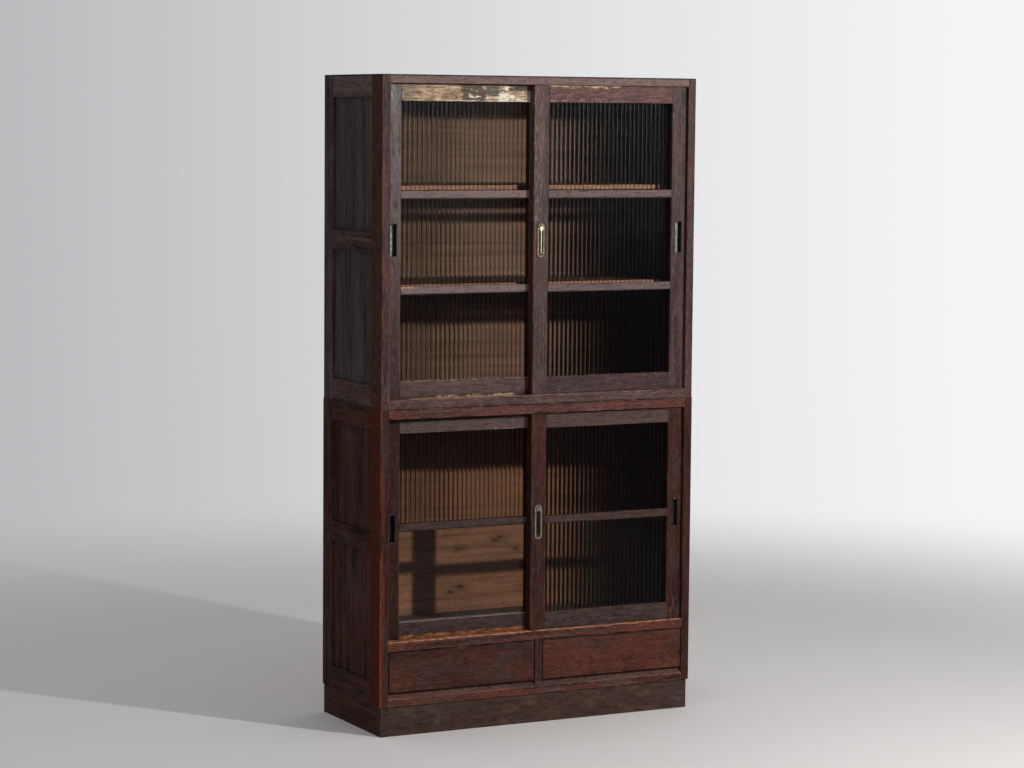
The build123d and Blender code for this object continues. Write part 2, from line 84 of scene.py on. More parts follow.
ahead = Vector((
    math.sin(CAMERA_YAW) * math.cos(CAMERA_PITCH),
    math.cos(CAMERA_YAW) * math.cos(CAMERA_PITCH),
    -math.sin(CAMERA_PITCH),
))
level_right = Vector((math.cos(CAMERA_YAW), -math.sin(CAMERA_YAW), 0))
level_up = level_right.cross(ahead)
lens_right = math.cos(CAMERA_ROLL) * level_right + math.sin(CAMERA_ROLL) * level_up
lens_up = math.cos(CAMERA_ROLL) * level_up - math.sin(CAMERA_ROLL) * level_right

camera_data = bpy.data.cameras.new("camera")
camera_data.sensor_width = SENSOR_WIDTH
camera_data.lens = FOCAL_LENGTH_PX / PICTURE_WIDTH_PX * SENSOR_WIDTH
camera = bpy.data.objects.new("camera", camera_data)
scene.collection.objects.link(camera)
camera_turn = Matrix((lens_right, lens_up, -ahead)).transposed().to_4x4()
camera.matrix_world = Matrix.Translation(CAMERA_PLACE) @ camera_turn
scene.camera = camera
scene.view_settings.view_transform = "Standard"
print(f"lens {camera_data.lens:.1f} mm")


# %% [markdown]
# ## A few words for building materials
# Every finish below is a node tree. Writing node trees by hand is wordy, so this small class
# gives the nodes that are used again and again a short name each: a noise, a colour ramp, a sum.
# Most of its methods add a node or a few and return an output, so that finishes read like recipes.

# %% Words for node trees
class Recipe:
    """The node tree of a material or the world, with short methods that add a node."""

    def __init__(self, owner, end="ShaderNodeOutputMaterial", coordinates="Object"):
        owner.use_nodes = True
        self.owner = owner
        self.tree = owner.node_tree
        self.tree.nodes.clear()
        self.end = self.add(end)
        self.place = self.add("ShaderNodeTexCoord").outputs[coordinates]
        self.axes = self.add("ShaderNodeSeparateXYZ", {0: self.place}).outputs

    def add(self, kind, sockets=None, **settings):
        """Add a node, set its settings by name, and feed its sockets by name or number."""
        node = self.tree.nodes.new(kind)
        for name, value in settings.items():
            setattr(node, name, value)
        for socket, value in (sockets or {}).items():
            self.feed(node.inputs[socket], value)
        return node

    def feed(self, socket, value):
        """Plug in an output, or set a plain value."""
        if isinstance(value, bpy.types.NodeSocket):
            self.tree.links.new(value, socket)
        elif isinstance(value, tuple) and socket.type == "RGBA":
            socket.default_value = (*value, 1)
        else:
            socket.default_value = value

    def surface(self, shader):
        """Send a shader to the output, and hand over what it belongs to."""
        self.feed(self.end.inputs["Surface"], shader)
        return self.owner

    def noise(self, scale, shift=(0, 0, 0), detail=3.0, roughness=0.55, distortion=0.0):
        """A cloudy noise from 0 to 1, with its waves in a metre by axis, and moved by a shift."""
        sockets = {"Vector": self.place, "Scale": scale, "Location": shift}
        vector = self.add("ShaderNodeMapping", sockets).outputs["Vector"]
        sockets = {"Scale": 1.0, "Detail": detail, "Roughness": roughness, "Distortion": distortion}
        return self.add("ShaderNodeTexNoise", {"Vector": vector, **sockets}).outputs["Fac"]

    def math(self, operation, a, b=0.0):
        """One operation on two numbers."""
        return self.add("ShaderNodeMath", {0: a, 1: b}, operation=operation).outputs[0]

    def times(self, a, b):
        """One number times another."""
        return self.math("MULTIPLY", a, b)

    def plus(self, a, b):
        """One number and another."""
        return self.math("ADD", a, b)

    def between(self, value, low, high):
        """A smooth step from 0 at low to 1 at high."""
        sockets = {"Value": value, "From Min": low, "From Max": high}
        return self.add("ShaderNodeMapRange", sockets, interpolation_type="SMOOTHSTEP").outputs["Result"]

    def ramp(self, value, stops):
        """Colours at places from 0 to 1."""
        node = self.add("ShaderNodeValToRGB", {"Fac": value})
        elements = node.color_ramp.elements
        while len(elements) < len(stops):
            elements.new(1.0)
        for element, (position, colour) in zip(elements, stops):
            element.position = position
            element.color = (*colour, 1)
        return node.outputs["Color"]

    def mix(self, share, a, b):
        """Colour b over colour a by a share from 0 to 1."""
        return self.add("ShaderNodeMix", {0: share, 6: a, 7: b}, data_type="RGBA").outputs[2]

    def switch(self, share, first, second):
        """The second shader over the first by a share."""
        return self.add("ShaderNodeMixShader", {0: share, 1: first, 2: second}).outputs["Shader"]

    def patch(self, soft, x=None, y=None, z=None):
        """1 inside ranges of the object's own coordinates, fading over a soft border."""
        inside = None
        for value, limits in zip(self.axes, (x, y, z)):
            if limits is None:
                continue
            low, high = limits
            rise = self.between(value, low - soft, low + soft)
            fall = self.between(value, high + soft, high - soft)
            both = self.times(rise, fall)
            inside = both if inside is None else self.times(inside, both)
        return inside

    def ragged(self, share, torn, cover=0.55, strength=1.0, start=0.38, full=0.64):
        """Break a share up with a noise, so that a mark gets torn borders and holes."""
        moved = self.times(self.math("SUBTRACT", torn, 0.5), 2.4)
        broken = self.between(self.plus(self.times(share, cover), moved), start, full)
        return self.times(self.times(broken, strength), self.between(share, 0.0, 0.12))

    def wash(self, colour, paint, share, strength):
        """Lay a paint evenly over a colour."""
        return self.mix(self.times(share, strength), colour, paint)

    def rub(self, colour, paint, share, torn, *how):
        """Lay a paint over a colour with torn borders and holes."""
        return self.mix(self.ragged(share, torn, *how), colour, paint)

    def flakes(self, share, torn, cover, under, coat, border):
        """Lay flakes of an old coat over a colour, with a dark line round each of them."""
        colour = self.rub(under, border, share, torn, cover, 0.85, 0.32, 0.42)
        return self.rub(colour, coat, share, torn, cover, 1.0, 0.46, 0.56)

    def edges(self, radius, full):
        """Normals rounded near the edges, and how near to an edge each place is."""
        normal = self.add("ShaderNodeBevel", {"Radius": radius}, samples=4).outputs["Normal"]
        face = self.add("ShaderNodeNewGeometry").outputs["Normal"]
        turn = self.add("ShaderNodeVectorMath", {0: normal, 1: face}, operation="DOT_PRODUCT")
        return normal, self.between(turn.outputs["Value"], 0.998, full)

    def bump(self, height, strength, distance, **normal):
        """Normals tilted by a height."""
        sockets = {"Height": height, "Strength": strength, "Distance": distance, **normal}
        return self.add("ShaderNodeBump", sockets).outputs["Normal"]


print("recipe words ready")

# %% [markdown]
# ## Stained wood
# Old stained wood is not one brown. Fine fibres and broader streaks run along the grain, dark
# pores and pale scratches follow them, and the stain lies in warm and dull clouds where it was
# wiped on. Hands, doors and cloths then rub the edges down to redder and paler wood.
#
# Each of those layers is a noise on the object's own coordinates, pulled long in the direction
# of the grain. The edges come from the Bevel node: it rounds the normals near an edge, so where
# its normal turns away from the face's own, there is an edge to wear.

# %% Stains
# Each stain is linear colour for the pores, the body, its warm and dull clouds, its pale scuffs,
# and the bare worn wood under it. Some also name the light streaks.
UPPER_STAIN = {
    "pores": (0.012, 0.005, 0.005),
    "body": (0.052, 0.023, 0.020),
    "warm": (0.100, 0.031, 0.024),
    "dull": (0.072, 0.050, 0.048),
    "scuffed": (0.24, 0.165, 0.155),
    "worn": (0.36, 0.17, 0.11),
}
LOWER_STAIN = {
    "pores": (0.010, 0.004, 0.003),
    "body": (0.038, 0.012, 0.009),
    "warm": (0.072, 0.017, 0.010),
    "dull": (0.048, 0.028, 0.024),
    "scuffed": (0.15, 0.075, 0.058),
    "worn": (0.34, 0.12, 0.06),
}
SIDE_STAIN = {
    "pores": (0.014, 0.008, 0.007),
    "body": (0.063, 0.041, 0.037),
    "warm": (0.096, 0.042, 0.033),
    "dull": (0.084, 0.074, 0.071),
    "scuffed": (0.150, 0.115, 0.106),
    "worn": (0.24, 0.090, 0.060),
}
PANEL_STAIN = {
    **SIDE_STAIN,
    "body": (0.057, 0.048, 0.044),
    "warm": (0.066, 0.048, 0.043),
    "dull": (0.074, 0.069, 0.065),
}
LOWER_SIDE_STAIN = {
    "pores": (0.009, 0.004, 0.004),
    "body": (0.052, 0.021, 0.017),
    "warm": (0.090, 0.026, 0.017),
    "dull": (0.066, 0.045, 0.042),
    "scuffed": (0.120, 0.070, 0.058),
    "worn": (0.22, 0.070, 0.040),
}


def shade(stain, strength):
    """The same stain in a lighter or darker coat."""
    return {
        layer: tuple(strength * channel for channel in colour) for layer, colour in stain.items()
    }


print("one lighter coat:", [round(channel, 3) for channel in shade(UPPER_STAIN, 1.3)["body"]])

# %% Wood finish
EDGE_RADIUS = 0.0022
LIGHT_STREAK = 1.9
# Each pattern's waves in a metre, along the grain and across it.
FIBRE = (9, 480)
STREAK = (2.4, 85)
WARM_CLOUD = (5, 13)
DULL_CLOUD = (7, 24)
PORE = (22, 620)
SCUFF = (60, 270)
RUBBED = (16, 60)


def wood(name, grain, stain, seed, wear=0.5, roughness=0.52, gloss=0.25, marks=None):
    """Stained and worn wood with its grain along one axis.

    The marks are a function that lays local wear over the colour.
    """
    recipe = Recipe(bpy.data.materials.new(name))

    def pulled(waves, shift, **how):
        """A noise that is long in the grain's direction."""
        along, across = waves
        scale = tuple(along if axis == grain else across for axis in "XYZ")
        return recipe.noise(scale, shift, **how)

    shift = (seed * 1.7, seed * 0.9, seed * 2.3)
    fibre = pulled(FIBRE, shift, detail=4)
    streak = pulled(STREAK, shift, detail=5, distortion=0.15)
    warm_cloud = pulled(WARM_CLOUD, shift, detail=5, roughness=0.65)
    dull_cloud = pulled(DULL_CLOUD, (seed, 4, seed), detail=6, roughness=0.7)
    tone = recipe.plus(recipe.times(fibre, 0.4), recipe.times(streak, 0.6))
    light = stain.get("light") or tuple(LIGHT_STREAK * channel for channel in stain["body"])
    colour = recipe.ramp(tone, [(0.37, stain["pores"]), (0.5, stain["body"]), (0.62, light)])
    colour = recipe.wash(colour, stain["warm"], recipe.between(warm_cloud, 0.46, 0.62), 0.7)
    colour = recipe.wash(colour, stain["dull"], recipe.between(dull_cloud, 0.48, 0.64), 0.75)
    if marks:
        colour = marks(recipe, colour)
    pores = pulled(PORE, (seed, seed, 1), detail=2)
    pore_share = recipe.times(recipe.between(pores, 0.58, 0.66), 0.6)
    colour = recipe.mix(pore_share, colour, stain["pores"])
    scuffs = pulled(SCUFF, (2, seed, seed), detail=5, roughness=0.8)
    colour = recipe.wash(colour, stain["pores"], recipe.between(scuffs, 0.50, 0.36), 0.7)
    pale = recipe.between(scuffs, 0.53, 0.68)
    colour = recipe.wash(colour, stain["scuffed"], pale, 0.1 + 0.6 * wear)

    round_normal, edge = recipe.edges(EDGE_RADIUS, 0.88)
    rubbed = pulled(RUBBED, shift, detail=5, roughness=0.7)
    edge_share = recipe.times(edge, recipe.between(rubbed, 0.66 - 0.36 * wear, 0.78 - 0.3 * wear))
    colour = recipe.wash(colour, stain["worn"], edge_share, 0.8)

    matt = recipe.plus(recipe.times(dull_cloud, 0.24), recipe.times(fibre, 0.12))
    relief = recipe.plus(fibre, recipe.times(streak, 0.8))
    relief = recipe.math("SUBTRACT", relief, recipe.times(pore_share, 0.5))
    shader = recipe.add("ShaderNodeBsdfPrincipled", {
        "Base Color": colour,
        "Roughness": recipe.plus(matt, roughness - 0.18),
        "Normal": recipe.bump(relief, 0.4, 0.0009, Normal=round_normal),
        "Specular IOR Level": gloss,
    })
    return recipe.surface(shader.outputs["BSDF"])


def finish(material, *names):
    """Give CAD parts their material."""
    for name in names:
        slots = parts[name].data.materials
        slots.clear()
        slots.append(material)
    print(f"{material.name}: {', '.join(names)}")


print("wood ready")

# %% [markdown]
# ## Posts
# The front posts are what hands and baskets brush past. The left post's outer corner is rubbed
# to a light line, and its face is warmer where a century of light fell on it. These are marks
# at one place, so they are laid by ranges of the coordinates, and torn with a noise.


# %% Posts
# A near black, for the line along the frame's top edge and for painted shade in gaps.
DARK_TOP = (0.008, 0.005, 0.005)
TOP_EDGE = (1.6784, 1.7)
FRONT_SKIN = (-0.19, -0.1804)
LEFT_SKIN = (-0.46, -0.4539)
RIGHT_SKIN = (0.4539, 0.46)


def dark_top(recipe, colour, *faces):
    """A dark line along the top edge, under the top board, on the outer faces of the frame."""
    for face in faces:
        top = recipe.patch(0.0004, z=TOP_EDGE, **face)
        colour = recipe.mix(top, colour, DARK_TOP)
    return colour


def upper_post_marks(recipe, colour):
    """A rubbed corner, and a warm stripe at the head of the left post."""
    torn = recipe.noise((60, 60, 9), (3, 1, 4), detail=5, roughness=0.7)
    stripe = recipe.patch(0.006, x=(-0.48, -0.437), y=(-0.19, -0.176), z=(1.15, 1.7))
    colour = recipe.rub(colour, (0.13, 0.050, 0.036), stripe, torn, 0.6, 0.5)
    side_face = recipe.patch(0.0005, x=(-0.48, -0.4537))
    colour = recipe.wash(colour, (0.066, 0.021, 0.013), side_face, 0.75)
    corner = recipe.patch(0.0008, x=(-0.48, -0.4525), y=(-0.19, -0.1789))
    colour = recipe.rub(colour, (0.22, 0.085, 0.055), corner, torn, 0.6, 0.6)
    return dark_top(recipe, colour, {"y": FRONT_SKIN}, {"x": LEFT_SKIN}, {"x": RIGHT_SKIN})


def lower_post_marks(recipe, colour):
    """Orange-brown stripes along the left post's outer corner."""
    torn = recipe.noise((90, 90, 5), (3, 1, 4), detail=5, roughness=0.7)
    stripe = recipe.patch(0.005, x=(-0.48, -0.444), z=(0.05, 0.9))
    colour = recipe.rub(colour, (0.12, 0.024, 0.011), stripe, torn, 0.55, 0.75)
    side_face = recipe.patch(0.0005, x=(-0.48, -0.4552))
    colour = recipe.wash(colour, (0.088, 0.011, 0.004), side_face, 0.85)
    corner = recipe.patch(0.0008, x=(-0.48, -0.454), y=(-0.19, -0.1789))
    return recipe.rub(colour, (0.34, 0.10, 0.045), corner, torn, 0.62, 0.7)


for case, stain, seed, gloss, marks in (
    ("upper", UPPER_STAIN, 1, 0.16, upper_post_marks),
    ("lower", LOWER_STAIN, 2, 0.12, lower_post_marks),
):
    posts = wood(f"{case}_posts_stain", "Z", stain, seed, wear=0.6, gloss=gloss, marks=marks)
    finish(posts, f"{case}_front_posts")
finish(wood("upper_rear_post_stain", "Z", SIDE_STAIN, 6, gloss=0.1), "upper_rear_posts")
finish(wood("lower_rear_post_stain", "Z", LOWER_SIDE_STAIN, 22, gloss=0.1), "lower_rear_posts")
finish(wood("divider_stain", "Z", LOWER_STAIN, 5), "drawer_divider")

# %% [markdown]
# ## The sides
# The sides were stained almost black, and nobody rubs them. Their panels keep the grain upright,
# the rails lie from front to back, and the top rail is greyer with dust.


# %% Sides
def side_rail_marks(recipe, colour):
    """Dust makes the top rail greyer."""
    dusty = recipe.patch(0.01, z=(1.63, 1.7))
    colour = recipe.wash(colour, (0.150, 0.118, 0.110), dusty, 0.6)
    return dark_top(recipe, colour, {"x": LEFT_SKIN}, {"x": RIGHT_SKIN})


for case, stain, panel_stain, seed in (
    ("upper", SIDE_STAIN, PANEL_STAIN, 7),
    ("lower", LOWER_SIDE_STAIN, LOWER_SIDE_STAIN, 23),
):
    rails = wood(f"{case}_side_rail_stain", "Y", stain, seed, gloss=0.1, marks=side_rail_marks)
    finish(rails, f"{case}_side_rails")
    panels = wood(
        f"{case}_side_panel_stain", "Z", panel_stain, seed + 1, wear=0.1, roughness=0.55, gloss=0.1
    )
    finish(panels, f"{case}_side_panels")

# %% [markdown]
# ## Rails and sills of the cases
# Sliding doors wear the sills. The tracks under the upper left door are splintered to cream
# wood, and the front edge of the lower sill is rubbed pink and orange along its whole length,
# most of all at the right.


# %% Rails and sills
BARE_TRACK = [(0.35, (0.10, 0.03, 0.012)), (0.5, (0.24, 0.085, 0.028)), (0.62, (0.40, 0.17, 0.06))]
# The heights of the gaps over the head rail, under the sill and over the drawer rail, painted dark as their
# shade
LOWER_GAPS = ((0.8358, 0.85), (0.2185, 0.2202), (0.1088, 0.1105))


def upper_rail_marks(recipe, colour):
    """Splintered tracks in the left half of the upper sill, a faded head rail, and painted shade in the gap
    under the sill.
    """
    torn = recipe.noise((38, 120, 300), (5, 2, 1), detail=6, roughness=0.7)
    tracks = recipe.patch(0.012, x=(-0.37, -0.06), z=(0.85, 0.87))
    behind_lip = recipe.patch(0.001, y=(-0.1725, -0.12))
    share = recipe.ragged(recipe.times(tracks, behind_lip), torn, 0.68)
    colour = recipe.mix(share, colour, (0.66, 0.42, 0.23))
    lip = recipe.patch(0.0012, y=(-0.19, -0.17), z=(0.8606, 0.88))
    colour = recipe.rub(colour, (0.42, 0.18, 0.11), lip, torn, 0.55, 0.7)
    # Painted shade in the gap along the foot of the sill.
    gap = recipe.patch(0.0004, z=(0.83, 0.8408))
    colour = recipe.mix(gap, colour, DARK_TOP)
    faded = recipe.patch(0.001, y=FRONT_SKIN, z=(1.655, 1.69))
    colour = recipe.wash(colour, (0.26, 0.165, 0.145), faded, 0.5)
    return dark_top(recipe, colour, {"y": FRONT_SKIN})


def lower_rail_marks(recipe, colour):
    """The rubbed edge of the lower sill, a bare spot on the head rail, a painted highlight on the finger
    groove, and painted shade in the gaps.
    """
    torn = recipe.noise((45, 160, 260), (1, 6, 2), detail=6, roughness=0.75)
    lip = recipe.patch(0.0014, y=(-0.19, -0.168), z=(0.2412, 0.25))
    colour = recipe.rub(colour, (0.60, 0.26, 0.17), lip, torn, 0.6)
    orange_lip = recipe.patch(0.004, x=(0.03, 0.33), y=(-0.19, -0.168), z=(0.237, 0.25))
    colour = recipe.rub(colour, (0.38, 0.15, 0.08), orange_lip, torn, 0.45, 0.7)
    track = recipe.patch(0.002, x=(-0.42, -0.02), y=(-0.17, -0.12), z=(0.22, 0.26))
    bare = recipe.ramp(torn, BARE_TRACK)
    colour = recipe.rub(colour, bare, track, torn, 0.8, 0.9)
    spot = recipe.patch(0.02, x=(-0.46, -0.34), z=(0.812, 0.845))
    colour = recipe.rub(colour, (0.14, 0.042, 0.024), spot, torn, 0.5, 0.4)
    # Painted highlight on the lit bevel of the finger groove along the drawer rail.
    finger_groove_highlight = recipe.patch(0.0015, z=(0.094, 0.11), y=(-0.19, -0.165))
    colour = recipe.wash(colour, (0.11, 0.075, 0.065), finger_groove_highlight, 0.35)
    # Painted shade in the gaps.
    for gap in LOWER_GAPS:
        colour = recipe.mix(recipe.patch(0.0005, z=gap), colour, DARK_TOP)
    return colour


for case, stain, seed, gloss, marks, more in (
    ("upper", shade(UPPER_STAIN, 1.25), 3, 0.2, upper_rail_marks, []),
    ("lower", shade(LOWER_STAIN, 1.9), 4, 0.15, lower_rail_marks, ["drawer_rail"]),
):
    rails = wood(f"{case}_rails_stain", "X", stain, seed, wear=0.6, gloss=gloss, marks=marks)
    finish(rails, f"{case}_head_rail", f"{case}_sill", *more)

# %% [markdown]
# ## Doors
# Every door is in its own state. The left upper door has lost the finish of its top rail, down to
# tan wood with flakes of an older coat, and a pale stain runs down its stile. The right one has
# a flaking golden line. The lower left door has rubbed bare along its foot.


# %% Doors
# A near black for the dark joint lines, and for painted shade where a part shades the wood.
JOINT_DIRT_AND_SHADE = (0.010, 0.006, 0.005)
MEETING_EDGE = 0.0215
OUTER_EDGE = 0.3892
HEAD_RAIL = (1.613, 1.7)
HIGH_BAR = (1.36, 1.40)
LOW_BAR = (1.12, 1.15)


def joint_lines(recipe, colour, *places):
    """A dark line where a rail's end meets its stile."""
    for x in places:
        line = recipe.patch(0.0006, x=(x - 0.0009, x + 0.0009))
        colour = recipe.wash(colour, JOINT_DIRT_AND_SHADE, line, 0.8)
    return colour


def paint_shade(recipe, colour, share, **limits):
    """Painted shade, darkening a place that a neighbouring part shades."""
    return recipe.wash(colour, JOINT_DIRT_AND_SHADE, recipe.patch(0.0012, **limits), share)


def upper_bars(recipe):
    """Where an upper door has its two bars."""
    return recipe.plus(recipe.patch(0.001, z=HIGH_BAR), recipe.patch(0.001, z=LOW_BAR))


TAN_WOOD = [
    (0.34, (0.10, 0.055, 0.028)), (0.44, (0.33, 0.20, 0.115)),
    (0.53, (0.55, 0.365, 0.235)), (0.65, (0.78, 0.60, 0.44)),
]
# Flakes of older coats: the softness and limits of their place, how much of it they cover,
# their colour, and the colour of the line round them
OLD_COATS = (
    (0.018, {"x": (-0.226, -0.150)}, 0.62, (0.095, 0.058, 0.032), (0.012, 0.008, 0.005)),
    (0.012, {"x": (-0.150, -0.112), "z": (1.628, 1.7)}, 0.72, (0.12, 0.11, 0.075), (0.015, 0.012, 0.008)),
    (0.010, {"x": (-0.090, 0.0), "z": (1.645, 1.7)}, 0.70, (0.075, 0.045, 0.030), (0.012, 0.008, 0.006)),
)
WHITE_COATS = (
    (0.40, {"x": (-0.20, -0.10), "z": (1.6, 1.634)}),
    (0.58, {"x": (-0.118, -0.082), "z": (1.6, 1.7)}),
    (0.40, {"x": (-0.084, 0.0), "z": (1.6, 1.645)}),
)


def bare_top_rail(recipe):
    """Tan wood, with what is left of a dark and of a white coat."""
    mottled = recipe.noise((34, 300, 170), (1, 1, 1), detail=7, roughness=0.72)
    tan = recipe.ramp(mottled, TAN_WOOD)
    torn = recipe.noise((38, 90, 85), (4, 1, 3), detail=8, roughness=0.7, distortion=0.5)
    white = recipe.noise((30, 90, 100), (9, 2, 5), detail=7, roughness=0.66, distortion=0.4)
    left_end = recipe.patch(0.02, x=(-0.43, -0.348))
    bare = recipe.wash(tan, (0.15, 0.115, 0.072), left_end, 0.65)
    golden = recipe.patch(0.012, x=(-0.275, -0.225), z=(1.6, 1.641))
    bare = recipe.wash(bare, (0.25, 0.15, 0.055), golden, 0.6)
    for soft, limits, cover, coat, border in OLD_COATS:
        bare = recipe.flakes(recipe.patch(soft, **limits), torn, cover, bare, coat, border)
    for cover, limits in WHITE_COATS:
        patch = recipe.patch(0.010, **limits)
        bare = recipe.rub(bare, (0.86, 0.79, 0.64), patch, white, cover, 0.95, 0.42, 0.52)
    foot = recipe.patch(0.0012, x=(-0.29, 0.0), z=(1.6, 1.6192))
    return recipe.rub(bare, (0.74, 0.60, 0.44), foot, white, 0.7, 0.8)


def upper_left_rail_marks(recipe, colour):
    """The bare top rail, greyish bars, rubbed patches, and painted shadow under the head rail's lip."""
    colour = recipe.mix(recipe.patch(0.0005, z=HEAD_RAIL), colour, bare_top_rail(recipe))
    torn = recipe.noise((60, 160, 130), (4, 1, 3), detail=7, roughness=0.7)
    colour = recipe.wash(colour, (0.22, 0.155, 0.150), upper_bars(recipe), 0.65)
    rubbed = recipe.patch(0.012, x=(-0.41, -0.345), z=(1.138, 1.16))
    colour = recipe.rub(colour, (0.62, 0.28, 0.18), rubbed, torn, 0.6, 0.8)
    bottom_rail = recipe.patch(0.001, z=(0.868, 0.91))
    colour = recipe.wash(colour, (0.15, 0.085, 0.074), bottom_rail, 0.3)
    seat = recipe.patch(0.0009, z=(0.9045, 0.91))
    colour = recipe.rub(colour, (0.40, 0.30, 0.22), seat, torn, 0.5, 0.7)
    splintered = recipe.patch(0.003, x=(-0.33, -0.05), z=(0.85, 0.868))
    colour = recipe.rub(colour, (0.55, 0.36, 0.22), splintered, torn, 0.5, 0.9)
    # Painted shadow of the head rail's lip over the top of the door.
    colour = paint_shade(recipe, colour, 0.7, z=(1.6565, 1.7))
    return joint_lines(recipe, colour, -OUTER_EDGE, -MEETING_EDGE)


def upper_left_stile_marks(recipe, colour):
    """A pale run of damp from the head of the stile, a painted sheen of lilac grey under it that grows
    towards the top, painted shade towards the foot, and painted shadow where the right door covers the stile.
    """
    torn = recipe.noise((110, 110, 22), (6, 1, 2), detail=6, roughness=0.7)
    # Painted sheen: a lilac grey in torn patches that grows towards the top.
    height = recipe.between(recipe.axes[2], 0.95, 1.62)
    painted_sheen = recipe.times(height, recipe.between(torn, 0.25, 0.65))
    colour = recipe.mix(painted_sheen, colour, (0.165, 0.135, 0.145))
    damp = recipe.patch(0.022, x=(-0.46, -0.402), z=(1.59, 1.70))
    colour = recipe.wash(colour, (0.30, 0.30, 0.29), damp, 0.45)
    run = recipe.patch(0.010, x=(-0.45, -0.412), z=(1.622, 1.70))
    colour = recipe.rub(colour, (0.52, 0.55, 0.48), run, torn, 0.6, 0.6)
    # Painted shade: the stile darker towards its foot.
    low = recipe.between(recipe.axes[2], 1.25, 0.92)
    colour = recipe.wash(colour, (0.030, 0.011, 0.009), low, 0.65)
    # Painted shadow of the right door's stile where it covers this one.
    return paint_shade(recipe, colour, 0.8, x=(-MEETING_EDGE, 0.03))


def lower_left_stile_marks(recipe, colour):
    """Dark red, with painted shadow where the right door covers the stile."""
    colour = recipe.mix(0.4, colour, (0.026, 0.008, 0.007))
    # Painted shadow of the right door's stile where it covers this one.
    return paint_shade(recipe, colour, 0.8, x=(-MEETING_EDGE, 0.03))


RED_COAT = [(0.34, (0.050, 0.018, 0.018)), (0.5, (0.125, 0.034, 0.030)), (0.66, (0.20, 0.075, 0.066))]


def upper_right_rail_marks(recipe, colour):
    """A red top rail with a flaking golden line along its head, and greyish bars."""
    torn = recipe.noise((60, 200, 190), (2, 8, 1), detail=7, roughness=0.72)
    top_rail = recipe.patch(0.001, z=HEAD_RAIL)
    red = recipe.ramp(torn, RED_COAT)
    colour = recipe.wash(colour, red, top_rail, 0.75)
    gold = recipe.patch(0.006, x=(-0.03, 0.235), z=(1.6525, 1.7))
    colour = recipe.rub(colour, (0.60, 0.40, 0.18), gold, torn, 0.55, 0.9)
    pink = recipe.patch(0.010, x=(-0.02, 0.2), z=(1.6, 1.626))
    colour = recipe.rub(colour, (0.36, 0.18, 0.17), pink, torn, 0.42, 0.7)
    colour = recipe.wash(colour, (0.17, 0.125, 0.122), upper_bars(recipe), 0.5)
    foot = recipe.patch(0.002, z=(0.85, 0.91))
    colour = recipe.wash(colour, (0.034, 0.013, 0.014), foot, 0.55)
    return joint_lines(recipe, colour, MEETING_EDGE, OUTER_EDGE)


def upper_right_stile_marks(recipe, colour):
    """The meeting stile is scraped pale at its inner side, above the lock."""
    torn = recipe.noise((330, 330, 45), (6, 4, 2), detail=6, roughness=0.75)
    scraped = recipe.patch(0.014, x=(-0.035, 0.008), z=(1.30, 1.7))
    return recipe.rub(colour, (0.36, 0.24, 0.22), scraped, torn, 0.36, 0.6)


BARE_FOOT = [(0.36, (0.10, 0.038, 0.016)), (0.5, (0.26, 0.090, 0.030)), (0.62, (0.46, 0.20, 0.07))]


def lower_left_rail_marks(recipe, colour):
    """A bare orange foot, a dull grey face, a pale line on the foot rail's top arris, a pink chip under the
    top rail, and painted shadow under the head rail.
    """
    torn = recipe.noise((36, 200, 130), (7, 2, 9), detail=6, roughness=0.7)
    dull = recipe.times(recipe.patch(0.004, z=(0.2, 0.9)), recipe.between(torn, 0.2, 0.7))
    colour = recipe.mix(dull, colour, (0.062, 0.044, 0.040))
    foot = recipe.patch(0.003, z=(0.2, 0.2535))
    bare = recipe.ramp(torn, BARE_FOOT)
    colour = recipe.rub(colour, bare, foot, torn, 0.72, 0.9)
    # A pale line on the foot rail's top arris: rubbed wood with a painted highlight.
    head = recipe.patch(0.0008, z=(0.2868, 0.29))
    colour = recipe.wash(colour, (0.28, 0.22, 0.20), head, 0.75)
    faded = recipe.patch(0.001, z=(0.772, 0.803))
    colour = recipe.wash(colour, (0.135, 0.090, 0.080), faded, 0.5)
    chip = recipe.patch(0.004, x=(-0.12, -0.06), z=(0.769, 0.7765))
    colour = recipe.rub(colour, (0.42, 0.20, 0.19), chip, torn, 0.7, 0.8)
    bare_end = recipe.patch(0.02, x=(-0.085, 0.0), z=(0.79, 0.83))
    colour = recipe.rub(colour, (0.22, 0.14, 0.10), bare_end, torn, 0.5, 0.75, 0.35, 0.75)
    # Painted shadow of the head rail over the door's top.
    colour = paint_shade(recipe, colour, 0.75, z=(0.8025, 0.83))
    return joint_lines(recipe, colour, -OUTER_EDGE, -MEETING_EDGE)


def lower_right_rail_marks(recipe, colour):
    """A dull grey muntin and foot rail, and painted shadow under the head rail."""
    torn = recipe.noise((36, 200, 130), (3, 5, 9), detail=6, roughness=0.7)
    dull = recipe.times(recipe.patch(0.004, z=(0.2, 0.56)), recipe.between(torn, 0.25, 0.75))
    colour = recipe.mix(dull, colour, (0.062, 0.050, 0.046))
    faded = recipe.patch(0.001, z=(0.772, 0.808))
    colour = recipe.wash(colour, (0.120, 0.082, 0.074), faded, 0.5)
    # Painted shadow of the head rail over the door's top.
    colour = paint_shade(recipe, colour, 0.6, z=(0.808, 0.83))
    return joint_lines(recipe, colour, MEETING_EDGE, OUTER_EDGE)


def lower_right_stile_marks(recipe, colour):
    """The outer stile's foot is scraped to redder wood."""
    torn = recipe.noise((150, 150, 40), (8, 4, 2), detail=6, roughness=0.7)
    foot = recipe.patch(0.02, x=(0.37, 0.45), z=(0.2, 0.31))
    return recipe.rub(colour, (0.17, 0.062, 0.030), foot, torn, 0.4, 0.6)


